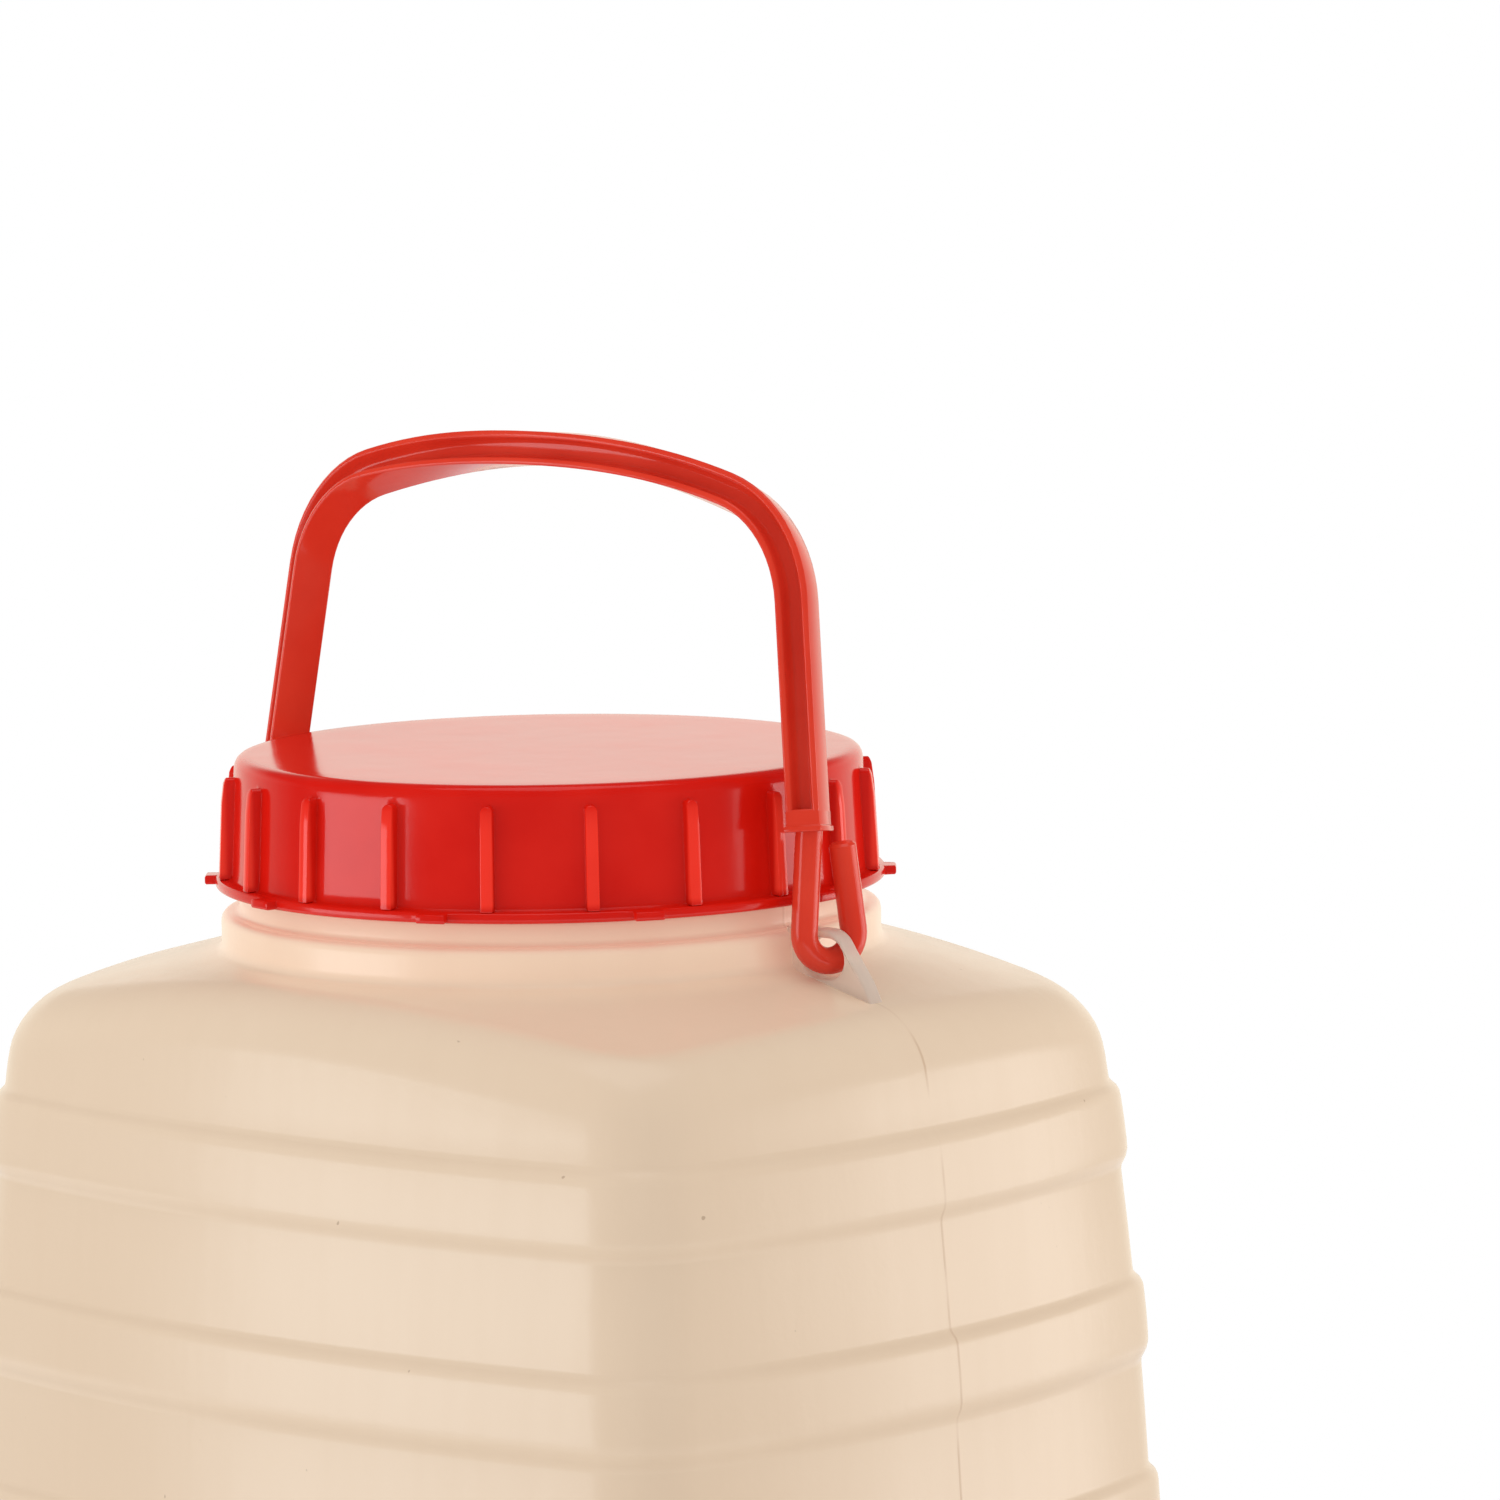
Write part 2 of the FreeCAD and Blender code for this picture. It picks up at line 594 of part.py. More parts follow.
def grip_line():
    """Stations along one half of the grip: place, direction and share of the leg's twist.

    The half runs from the middle of the crown, over the shoulder bend, down to the end block.
    Places are (x, height above the hook) for the half over +X."""
    crown = size("crown_radius")
    bend = size("shoulder_bend")
    splay = radians(size("leg_splay"))
    crown_middle = Vector(0, size("crown_height") - crown, 0)
    foot = Vector(ROD_X, size("collar_level"), 0)
    up = Vector(-sin(splay), cos(splay), 0)
    inward = Vector(-cos(splay), -sin(splay), 0)
    # The bend's centre keeps its distance from the leg's line and from the crown's arc.
    start = foot + inward * bend - crown_middle
    half_b = start.dot(up)
    rest = start.dot(start) - (crown - bend) ** 2
    climb = -half_b + sqrt(half_b**2 - rest)
    bend_middle = foot + inward * bend + up * climb
    meet = (bend_middle - crown_middle).normalize()
    crown_turn = asin(meet.x)
    crown_steps, bend_steps = 6, 5
    stations = []
    for step in range(crown_steps):
        turn = crown_turn * step / crown_steps
        stations.append((crown_middle + Vector(sin(turn), cos(turn), 0) * crown, turn))
    for step in range(bend_steps + 1):
        turn = crown_turn + (radians(90) - splay - crown_turn) * step / bend_steps
        stations.append((bend_middle + Vector(sin(turn), cos(turn), 0) * bend, turn))
    reach = stations[-1][0].x
    shares = [min(place.x / reach, 1.0) for place, _ in stations]
    half = [(place, turn, eased(share)) for (place, turn), share in zip(stations, shares)]
    return half, (foot, radians(90) - splay)


def section_frame(side, place, turn, twist):
    """Middle, outward and sideways directions of the grip's section on one half."""
    middle = Vector(side * place.x, ROD_Y, HOOK_LEVEL + place.y)
    tangent = Vector(side * cos(turn), 0, -sin(turn))
    outward = Vector(side * sin(turn), 0, cos(turn))
    sideways = Vector(0, -1, 0)
    # Both legs turn their inner faces towards -Y, as the two hooks are pulled round to +Y.
    spin = Rotation(tangent, -side * twist)
    return middle, spin.multVec(outward), spin.multVec(sideways)


def framed_wire(frame, corners):
    """A closed polygon of (outward, sideways) pairs in a section's frame."""
    middle, outward, sideways = frame
    points = [middle + outward * depth + sideways * across for depth, across in corners]
    return Part.makePolygon(points + points[:1])


def double_channel():
    """The grip's section: two flanges and a web, with an open channel on each side."""
    deep = size("grip_depth") / 2
    wide = size("grip_width") / 2
    lip = deep - size("grip_flange")
    web = size("grip_web") / 2
    quarter = [(deep, wide), (lip, wide), (lip, web)]
    corners = quarter + [(-depth, across) for depth, across in reversed(quarter)]
    return corners + [(depth, -across) for depth, across in reversed(corners)]


def rectangle(proud):
    """The end block's section, standing out by a margin."""
    deep = size("grip_depth") / 2 + proud
    wide = size("grip_width") / 2 + proud
    return [(deep, wide), (-deep, wide), (-deep, -wide), (deep, -wide)]


TWISTS = {1: size("twist_near"), -1: size("twist_far")}
half_line, (foot_place, foot_turn) = grip_line()
frames = []
for side in (-1, 1):
    half = [section_frame(side, place, turn, TWISTS[side] * share) for place, turn, share in half_line]
    frames += half[::-1] if side < 0 else half[1:]

grip = doc.addObject("Part::Loft", "grip")
grip.Sections = [
    feature(f"grip_section_{index}", framed_wire(frame, double_channel()))
    for index, frame in enumerate(frames)
]
grip.Solid = True
grip.Ruled = True

# Each leg is straight, from the bend down to its end block, which has a small lip under it.
leg_rise = half_line[-1][0] - foot_place
leg_parts = []
for side, name in ((1, "near"), (-1, "far")):
    frame = section_frame(side, foot_place, foot_turn, TWISTS[side])
    rise = Vector(side * leg_rise.x, 0, leg_rise.y)
    climb = Vector(rise).normalize()
    for label, corners, path in (
        ("leg", double_channel(), rise),
        ("block", rectangle(0.0), climb * size("end_block")),
        ("lip", rectangle(size("end_lip_proud")), climb * size("end_lip")),
    ):
        face = Part.Face(framed_wire(frame, corners))
        leg_parts.append(feature(f"{name}_{label}", face.extrude(path)))

hook = doc.addObject("PartDesign::Body", "hook")
hook_path = sketch_on(hook, "hook_path", "XZ_Plane")
lean_angle = radians(size("hook_lean"))
rod_top = size("collar_level") + size("end_lip") / 2
arc_end = Vector(reach * cos(lean_angle), reach * sin(lean_angle), 0)
tail_end = arc_end + Vector(-sin(lean_angle), cos(lean_angle), 0) * size("hook_tail")
path_rod = hook_path.addGeometry(
    Part.LineSegment(Vector(-reach, rod_top, 0), Vector(-reach, 0, 0)), False)
bend_circle = Part.Circle(Vector(), Vector(0, 0, 1), reach)
path_arc = hook_path.addGeometry(
    Part.ArcOfCircle(bend_circle, radians(180), radians(360) + lean_angle), False)
path_tail = hook_path.addGeometry(Part.LineSegment(arc_end, tail_end), False)
hook_path.addConstraint(Sketcher.Constraint("Tangent", path_rod, 2, path_arc, 1))
hook_path.addConstraint(Sketcher.Constraint("Tangent", path_arc, 2, path_tail, 1))
hook_path.addConstraint(Sketcher.Constraint("Coincident", path_arc, 3, -1, 1))
hook_path.addConstraint(Sketcher.Constraint("Vertical", path_rod))
for kind, target, value, text in (
    ("Radius", (path_arc,), reach, hook_radius),
    ("DistanceY", (-1, 1, path_rod, 1), rod_top, "Sizes.collar_level + Sizes.end_lip / 2"),
    ("Distance", (path_tail,), size("hook_tail"), "Sizes.hook_tail"),
    ("Angle", (-2, 1, path_tail, 1), lean_angle, "Sizes.hook_lean * 1deg"),
):
    number = hook_path.addConstraint(Sketcher.Constraint(kind, *target, value))
    hook_path.setExpression(f"Constraints[{number}]", text)
rod_outline = sketch_on(hook, "rod_outline", "XY_Plane")
bind(rod_outline, **{"AttachmentOffset.Base.z": "Sizes.collar_level + Sizes.end_lip / 2"})
rod_circle = rod_outline.addGeometry(
    Part.Circle(Vector(-reach, 0, 0), Vector(0, 0, 1), size("rod_diameter") / 2), False)
rod_outline.addConstraint(Sketcher.Constraint("PointOnObject", rod_circle, 3, -1))
for kind, target, value, text in (
    ("Diameter", (rod_circle,), size("rod_diameter"), "Sizes.rod_diameter"),
    ("DistanceX", (rod_circle, 3, -1, 1), reach, hook_radius),
):
    number = rod_outline.addConstraint(Sketcher.Constraint(kind, *target, value))
    rod_outline.setExpression(f"Constraints[{number}]", text)
doc.recompute()
rod = hook.newObject("PartDesign::AdditivePipe", "rod")
rod.Profile = rod_outline
rod.Spine = hook_path
doc.recompute()
tail_middle = Vector(tail_end.x, 0, tail_end.y)
tip_edge = min(
    range(len(rod.Shape.Edges)),
    key=lambda index: rod.Shape.Edges[index].CenterOfMass.distanceToPoint(tail_middle),
)
tip = hook.newObject("PartDesign::Chamfer", "tip")
tip.Base = (rod, [f"Edge{tip_edge + 1}"])
bind(tip, Size="Sizes.tip_chamfer")
hook.Tip = tip
hook.Placement = Placement(
    Vector(HOOK_X, 0, HOOK_LEVEL), Rotation(Vector(0, 0, 1), 90 - size("hook_turn")))
bind(hook, **{
    "Placement.Base.x": hook_x,
    "Placement.Base.z": "Sizes.mouth_level - Sizes.lug_drop",
})
far_hook = doc.addObject("Part::Mirroring", "far_hook")
far_hook.Source = hook
far_hook.Normal = Vector(1, 0, 0)

bail = doc.addObject("Part::MultiFuse", "bail")
bail.Shapes = [grip, *leg_parts, hook, far_hook]
doc.recompute()
bail.Placement = Placement(
    Vector(), Rotation(Vector(1, 0, 0), -size("bail_lean")), Vector(0, 0, HOOK_LEVEL))
doc.recompute()

# ---------------------------------------------------------------------------------------------
# Checks and files
# ---------------------------------------------------------------------------------------------

NODES = {"bottle": bottle, "cap": cap, "bail": bail}
for item in doc.Objects:
    if any(word in item.State for word in ("Invalid", "Error")):
        raise RuntimeError(f"{item.Name} failed: {item.State}")
os.makedirs("parts", exist_ok=True)
for name, item in NODES.items():
    item.Label = name
    shape = item.Shape
    if shape.isNull() or not shape.isValid() or len(shape.Solids) != 1:
        raise RuntimeError(f"{name} is not one valid solid: {len(shape.Solids)}")
    shape.exportStep(f"parts/{name}.step")
    box = shape.BoundBox
    print(f"{name}: {shape.Volume:.0f} mm3, x {box.XMin:.1f} to {box.XMax:.1f}, "
          f"y {box.YMin:.1f} to {box.YMax:.1f}, z {box.ZMin:.1f} to {box.ZMax:.1f}")
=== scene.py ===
# %% [markdown]
# # A wide-mouth drink keg
# A milky blow-moulded bottle with raised hoops, a ribbed red screw cap and a red carrying bail.
# Everything is modelled in metres, standing on the floor, with +Z up and +X through one lug.
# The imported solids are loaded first: they say where each part sits and what it may move with.

# %% Start
from math import asin, atan2, cos, degrees, hypot, pi, radians, sin, sqrt, tan

import bmesh
import bpy
from mathutils import Matrix, Vector


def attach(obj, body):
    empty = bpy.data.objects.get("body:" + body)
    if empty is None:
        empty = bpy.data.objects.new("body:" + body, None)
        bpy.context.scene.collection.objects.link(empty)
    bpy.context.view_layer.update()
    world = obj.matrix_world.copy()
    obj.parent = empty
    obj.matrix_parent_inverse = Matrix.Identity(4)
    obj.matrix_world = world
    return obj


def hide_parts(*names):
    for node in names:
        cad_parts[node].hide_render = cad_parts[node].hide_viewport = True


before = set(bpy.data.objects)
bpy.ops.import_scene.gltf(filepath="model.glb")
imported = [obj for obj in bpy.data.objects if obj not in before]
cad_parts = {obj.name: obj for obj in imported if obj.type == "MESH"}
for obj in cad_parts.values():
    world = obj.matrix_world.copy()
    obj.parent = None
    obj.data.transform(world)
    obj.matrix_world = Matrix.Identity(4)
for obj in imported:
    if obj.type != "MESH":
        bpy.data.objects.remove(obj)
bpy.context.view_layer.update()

MM = 0.001
CREASE = radians(32)     # edges that turn more than this are rounded
print("solids:", sorted(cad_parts))

# %% [markdown]
# ## Modelling ring by ring
# Blow-moulded walls, grips and wires are all one idea: a closed outline that is carried along and
# changes as it goes. By hand that is a circle whose edge loop is extruded again and again. Each
# vertex remembers its column in an integer layer, because an extruded vertex inherits the layers
# of the one it came from, so a new ring can be laid exactly where it belongs.


# %% Ring helpers
def clear_selection():
    """An operator acts on all that is selected, so each piece starts from nothing selected."""
    if bpy.context.object and bpy.context.object.mode != "OBJECT":
        bpy.ops.object.mode_set(mode="OBJECT")
    bpy.ops.object.select_all(action="DESELECT")


def edit_mesh():
    return bmesh.from_edit_mesh(bpy.context.object.data)


def lay_ring(points):
    """Put the selected ring's vertices at their columns' places."""
    mesh = edit_mesh()
    column = mesh.verts.layers.int["column"]
    for vertex in mesh.verts:
        if vertex.select:
            vertex.co = points[vertex[column]]
    bmesh.update_edit_mesh(bpy.context.object.data)


def first_ring(name, points):
    """A new piece whose first ring is a circle of vertices, laid on the given points."""
    clear_selection()
    bpy.ops.mesh.primitive_circle_add(vertices=len(points), radius=0.05)
    piece = bpy.context.object
    piece.name = name
    bpy.ops.object.mode_set(mode="EDIT")
    bpy.ops.mesh.select_mode(type="VERT")
    bpy.ops.mesh.select_all(action="SELECT")
    mesh = edit_mesh()
    column = mesh.verts.layers.int.new("column")
    for number, vertex in enumerate(mesh.verts):
        vertex[column] = number
    bmesh.update_edit_mesh(piece.data)
    lay_ring(points)
    return piece


def next_ring(points):
    """Extrude the selected ring and lay the new one."""
    bpy.ops.mesh.extrude_region_move()
    lay_ring(points)


def choose(kind, test):
    """Select, in edit mode, the faces, edges or vertices that pass a test."""
    mesh = edit_mesh()
    bpy.ops.mesh.select_all(action="DESELECT")
    bpy.ops.mesh.select_mode(type={"faces": "FACE", "edges": "EDGE", "verts": "VERT"}[kind])
    for item in getattr(mesh, kind):
        item.select = bool(test(item))
    mesh.select_flush_mode()
    bmesh.update_edit_mesh(bpy.context.object.data)
    return sum(item.select for item in getattr(mesh, kind))


def close_ends():
    """Fill every open loop of the piece."""
    choose("edges", lambda edge: edge.is_boundary)
    bpy.ops.mesh.edge_face_add()


def finish_mesh(piece, bevel=0.0, steps=2, smooth=35.0):
    """Point the faces outwards, round the crisp edges, and smooth the shading."""
    bpy.ops.object.mode_set(mode="EDIT")
    bpy.ops.mesh.select_all(action="SELECT")
    bpy.ops.mesh.normals_make_consistent(inside=False)
    bpy.ops.object.mode_set(mode="OBJECT")
    if bevel:
        modifier = piece.modifiers.new("round", "BEVEL")
        modifier.width = bevel
        modifier.segments = steps
        modifier.limit_method = "ANGLE"
        modifier.angle_limit = CREASE
        bpy.ops.object.modifier_apply(modifier="round")
    bpy.ops.object.shade_smooth_by_angle(angle=radians(smooth))
    print(piece.name, "faces:", len(piece.data.polygons))
    return piece


def arc(x, y, radius, start, end, steps):
    """Points along an arc, both ends included."""
    turns = [start + (end - start) * k / steps for k in range(steps + 1)]
    return [(x + radius * cos(turn), y + radius * sin(turn)) for turn in turns]


# %% [markdown]
# ## The bottle's wall
# The bottle is a rounded rectangle in plan whose four faces are bowed like a barrel's staves, both
# across and up and down. Seven raised hoops stiffen it. One way would be a subdivided cube, but a
# ring of vertices laid on the true plan at each height keeps the bow, the corners and the hoops
# in hand, and leaves clean quads for the smooth shading that milky plastic needs.

# %% Plan of the wall
# All lengths are in millimetres.
MOUTH = 300.0                                  # height of the cap's lower edge
LENGTH, WIDTH = 196.0, 163.0
FACE_X, FACE_Y, CORNER = 220.0, 369.0, 18.5    # radii of the plan's arcs
FACE_X_STEPS, CORNER_STEPS, FACE_Y_STEPS = 14, 10, 15
BELLY, DRAW = 150.0, 11.7                      # level of the widest place, draw-in at the ends
COLLAR_FOOT = MOUTH - 11.5
SLOPE = tan(radians(14.6))                     # fall of the shoulder


def quarter_plan(half_x, half_y):
    """Points of one quarter of the plan, from the middle of the +X face to that of the +Y face."""
    middle_x, middle_y = half_x - FACE_X, half_y - FACE_Y
    reach_x, reach_y = FACE_X - CORNER, FACE_Y - CORNER
    # The corner's centre is where two circles about the faces' centres cross; halving finds it.
    low, high = 0.0, radians(60)
    for _ in range(60):
        turn = (low + high) / 2
        x, y = middle_x + reach_x * cos(turn), reach_x * sin(turn)
        if hypot(x, y - middle_y) < reach_y:
            low = turn
        else:
            high = turn
    other = atan2(y - middle_y, x)
    points = arc(middle_x, 0.0, FACE_X, 0.0, turn, FACE_X_STEPS)[:-1]
    points += arc(x, y, CORNER, turn, other, CORNER_STEPS)[:-1]
    return points + arc(0.0, middle_y, FACE_Y, other, pi / 2, FACE_Y_STEPS)[:-1]


def plan(half_x, half_y):
    """The whole plan, column by column, counter-clockwise from the middle of the +X face."""
    quarter = quarter_plan(half_x, half_y)
    upper = quarter + [(0.0, half_y)] + [(-x, y) for x, y in reversed(quarter)]
    return upper + [(x, -y) for x, y in reversed(upper[1:-1])]


def half_sizes(level, proud=0.0):
    """Half the length and width at a level, over a hoop that stands proud of the wall."""
    fall = DRAW * ((level - BELLY) / BELLY) ** 2
    return LENGTH / 2 - fall + proud, WIDTH / 2 - fall + proud


def wall_ring(level, proud=0.0):
    return [Vector((x, y, level)) * MM for x, y in plan(*half_sizes(level, proud))]


print("columns round the wall:", len(plan(LENGTH / 2, WIDTH / 2)))

# %% [markdown]
# The hoops are not symmetrical: each one starts with a short crisp step at its upper edge and runs
# out softly below. Their profile is listed once, as distance below the hoop's top and projection.

# %% The wall, from foot to shoulder
HOOP_TOP, HOOP_PITCH, HOOP_HEIGHT, HOOP_COUNT, PROUD = 37.8, 35.8, 15.8, 7, 1.5
HOOP = [(-0.8, 0.0), (-0.2, 0.05), (0.4, 0.32), (1.1, 0.74), (1.9, 0.95), (3.0, 1.0),
        (7.0, 1.03), (10.8, 1.0), (12.6, 0.94), (13.8, 0.72), (14.8, 0.36), (15.6, 0.09),
        (16.6, 0.0)]
# The foot's recess and rim, as inset from the wall and level.
FOOT = [(20.5, 3.0), (18.6, 2.6), (17.2, 0.9), (16.0, 0.1), (14.5, 0.0), (10.0, 0.0)]
FOOT_ROUND, FOOT_STEPS = 7.0, 6
SHOULDER_EDGE, WALL_END = 18.0, 33.0           # below the mouth
COLLAR_RADIUS, COLLAR_ROOT = 60.4, 61.9
# The collar and the mouth, as radius and distance below the mouth's level.
COLLAR = [(61.1, 11.45), (60.7, 11.0), (60.45, 10.4), (60.4, 9.6), (60.4, 6.2), (60.25, 5.5),
          (59.8, 4.95), (59.1, 4.65), (58.2, 4.6), (57.6, 4.55), (57.15, 4.2), (57.0, 3.6),
          (57.0, 1.0), (56.7, 0.6), (53.9, 0.6), (53.9, -20.0)]

rings = []
for number in range(HOOP_COUNT):
    top = MOUTH - HOOP_TOP - number * HOOP_PITCH
    rings += [(top - drop, PROUD * share) for drop, share in HOOP]
    rings.append((top - (HOOP_HEIGHT + HOOP_PITCH) / 2, 0.0))
rings = [ring for ring in rings if ring[0] > FOOT_ROUND + 2]
rings.append((FOOT_ROUND + 1, 0.0))
rings.sort()

foot_half_x, foot_half_y = half_sizes(0.0)


def foot_ring(inset, level):
    return [Vector((x, y, level)) * MM for x, y in plan(foot_half_x - inset, foot_half_y - inset)]


bottle = first_ring("bottle_wall", foot_ring(*FOOT[0]))
bpy.ops.mesh.edge_face_add()
choose("edges", lambda edge: True)
for inset, level in FOOT[1:]:
    next_ring(foot_ring(inset, level))
for step in range(FOOT_STEPS + 1):
    turn = radians(90 * step / FOOT_STEPS)
    next_ring(foot_ring(FOOT_ROUND * (1 - sin(turn)), FOOT_ROUND * (1 - cos(turn))))
for level, proud in rings:
    next_ring(wall_ring(level, proud))

# The wall runs up past the shoulder's edge; there each column stops on the shoulder's cone.
rim_plan = plan(*half_sizes(MOUTH - SHOULDER_EDGE))


def on_cone(x, y):
    return Vector((x, y, COLLAR_FOOT - SLOPE * (hypot(x, y) - COLLAR_RADIUS))) * MM


def on_circle(radius):
    """The rim's columns, drawn in to a circle."""
    return [(x * radius / hypot(x, y), y * radius / hypot(x, y)) for x, y in rim_plan]


next_ring(wall_ring(MOUTH - WALL_END))
rim = [on_cone(x, y) for x, y in rim_plan]
next_ring(rim)
next_ring([on_cone(x, y) for x, y in on_circle(COLLAR_ROOT)])
for radius, below in COLLAR:
    next_ring([Vector((x, y, MOUTH - below)) * MM for x, y in on_circle(radius)])
bpy.ops.mesh.edge_face_add()
print("bottle faces:", len(edit_mesh().faces))

# %% [markdown]
# The shoulder's edge is still a sharp crease where the cone meets the wall. A bevel along that one
# loop rolls it over, as the air pressure does in the mould, with a radius of about 12 mm.

# %% Shoulder
SHOULDER_BEVEL = 9.3
rim_places = {tuple(round(n, 5) for n in point) for point in rim}


def on_rim(vertex):
    return tuple(round(n, 5) for n in vertex.co) in rim_places


print("rim edges:", choose("edges", lambda edge: all(on_rim(vertex) for vertex in edge.verts)))
bpy.ops.mesh.bevel(offset=SHOULDER_BEVEL * MM, offset_type="OFFSET", segments=9, profile=0.5,
                   affect="EDGES")
finish_mesh(bottle, smooth=50)

# %% [markdown]
# ## The lugs
# Two flat fins stand on the mould's joint, each pierced for the bail's hook. They are thin and
# almost clear. A flat outline with a hole in it is drawn as a curve, given its thickness and a
# small round edge, turned into a mesh, and stood up in the XZ plane.

# %% Lugs
LUG_X, HOOK_LEVEL = 67.7, MOUTH - 4.6          # middle of the hook in its slot
LUG_THICK, LUG_EDGE, STRAP, HOLE_W, HOLE_H, LUG_WALL = 3.5, 0.45, 1.5, 9.6, 7.4, 2.0
LUG_ROOT, LUG_SUNK, FOOT_OUT = 59.0, 7.0, 5.4  # hidden ends inside the collar and the shoulder
KNEE_OUT, KNEE_DROP = 2.6, 1.5
NOSE_BACK, NOSE_ROUND, NOSE_FALL = 6.6, 5.0, radians(27.0)
NOSE_STEPS, HOLE_STEPS = 12, 16


def lug_outline():
    """The fin: out along the shoulder, up to the knee and the nose, and back over the strap."""
    nose = LUG_X + HOLE_W / 2 + LUG_WALL
    crown = HOOK_LEVEL + STRAP / 2
    low = COLLAR_FOOT - LUG_SUNK
    foot = [(LUG_ROOT, low), (nose + FOOT_OUT, low), (nose + KNEE_OUT, COLLAR_FOOT - KNEE_DROP)]
    tip = arc(nose - NOSE_BACK, crown - NOSE_ROUND, NOSE_ROUND, pi / 2, NOSE_FALL, NOSE_STEPS)
    return foot + tip[::-1] + [(LUG_ROOT, crown)]


def lug_hole():
    half = (HOLE_W - HOLE_H) / 2
    level = HOOK_LEVEL - STRAP / 2 - HOLE_H / 2
    outer = arc(LUG_X + half, level, HOLE_H / 2, -pi / 2, pi / 2, HOLE_STEPS)
    return outer + arc(LUG_X - half, level, HOLE_H / 2, pi / 2, 3 * pi / 2, HOLE_STEPS)


def make_lug(name):
    clear_selection()
    drawing = bpy.data.curves.new(name, "CURVE")
    drawing.dimensions = "2D"
    drawing.fill_mode = "BOTH"
    drawing.extrude = (LUG_THICK / 2 - LUG_EDGE) * MM
    drawing.bevel_depth = LUG_EDGE * MM
    drawing.bevel_resolution = 2
    drawing.offset = -LUG_EDGE * MM
    for outline in (lug_outline(), lug_hole()):
        spline = drawing.splines.new("POLY")
        spline.points.add(len(outline) - 1)
        for point, (x, z) in zip(spline.points, outline):
            point.co = (x * MM, z * MM, 0, 1)
        spline.use_cyclic_u = True
    lug = bpy.data.objects.new(name, drawing)
    bpy.context.collection.objects.link(lug)
    bpy.context.view_layer.objects.active = lug
    lug.select_set(True)
    bpy.ops.object.convert(target="MESH")
    bpy.ops.object.mode_set(mode="EDIT")
    bpy.ops.mesh.select_all(action="SELECT")
    bpy.ops.mesh.remove_doubles(threshold=1e-6)
    bpy.ops.object.mode_set(mode="OBJECT")
    lug.data.transform(Matrix.Rotation(radians(90), 4, "X"))
    return finish_mesh(lug, smooth=40)


near_lug = make_lug("lug_near")
clear_selection()
far_lug = near_lug.copy()
far_lug.data = near_lug.data.copy()
far_lug.name = "lug_far"
bpy.context.collection.objects.link(far_lug)
far_lug.data.transform(Matrix.Rotation(radians(180), 4, "Z"))
print("lug box:", [[round(n, 4) for n in near_lug.bound_box[corner]] for corner in (0, 6)])

# %% [markdown]
# ## The cap
# A shallow lid with twenty grip ribs, a flange round its lower edge and ten small tabs on the
# flange. The columns of the ring are placed so that each rib and each tab is a column of its own;
# its faces are then pulled out of the skirt, which leaves ribs and skirt one clean skin.

# %% Cap skin
CAP_TURN = -3.7
RIBS = 20
SECTOR = 360 / RIBS
# Where the columns of one sector stand, in degrees from its rib.
STOPS = (-1.03, 1.03, 2.8, 4.7, 6.57, 7.7, 9.0, 10.3, 11.43, 13.3, 15.2)
# Flange, skirt and top, as radius and height over the mouth.
SKIRT = [(55.9, 0.05), (58.9, 0.0), (60.8, 0.0), (61.15, 0.15), (61.3, 0.5), (61.3, 1.4),
         (61.15, 1.75), (60.8, 1.9), (59.3, 1.95), (58.75, 2.15), (58.5, 2.7), (58.4, 4.2),
         (58.1, 10.0), (57.8, 16.0), (57.6, 19.5), (57.58, 20.6), (57.5, 21.8), (57.35, 22.5),
         (57.0, 23.2), (56.4, 23.7), (55.6, 23.95), (54.4, 24.0), (50.0, 24.0)]
RIB_FOOT, RIB_TOP, RIB_OUT, RIB_DRAFT = 1.95, 20.4, 60.95, 0.05
EASE, EASE_FROM, EASE_HEIGHT = 0.65, 17.5, 3.1   # how far the ribs' tops lean in
RIB_ROUND, CAP_ROUND = 0.95, 0.28
TAB_START, TAB_OUT = 6.5, 2.0
cap_angles = [radians(CAP_TURN + SECTOR * sector + stop)
              for sector in range(RIBS) for stop in STOPS]


def cap_ring(radius, height):
    return [Vector((radius * cos(turn), radius * sin(turn), MOUTH + height)) * MM
            for turn in cap_angles]


cap = first_ring("cap_skin", cap_ring(*SKIRT[0]))
for radius, height in SKIRT[1:]:
    next_ring(cap_ring(radius, height))
bpy.ops.mesh.edge_face_add()


def sector_place(item):
    """Degrees from the nearest rib, sector number, height over the mouth, and radius."""
    middle = item.calc_center_median() / MM
    turn = (degrees(atan2(middle.y, middle.x)) - CAP_TURN + SECTOR / 2) % 360.0
    sector = int(turn // SECTOR)
    offset = turn - SECTOR * sector - SECTOR / 2
    return offset, sector, middle.z - MOUTH, hypot(middle.x, middle.y)


def pull_out(reach):
    """Extrude the chosen faces and move each new vertex straight away from the keg's axis."""
    bpy.ops.mesh.extrude_region_move()
    mesh = edit_mesh()
    for vertex in mesh.verts:
        if vertex.select:
            away = hypot(vertex.co.x, vertex.co.y)
            growth = (away + reach(vertex.co) * MM) / away
            vertex.co.x *= growth
            vertex.co.y *= growth
    bmesh.update_edit_mesh(bpy.context.object.data)


def is_rib(face):
    offset, _, height, _ = sector_place(face)
    return abs(offset) < 0.5 and RIB_FOOT < height < RIB_TOP and len(face.verts) == 4


print("rib faces:", choose("faces", is_rib))


def rib_reach(place):
    """Ribs keep the skirt's draft, and lean in at the top."""
    height = place.z / MM - MOUTH
    outer = RIB_OUT - RIB_DRAFT * height
    if height > EASE_FROM:
        outer -= EASE * ((height - EASE_FROM) / EASE_HEIGHT) ** 2
    return outer - hypot(place.x, place.y) / MM


pull_out(rib_reach)


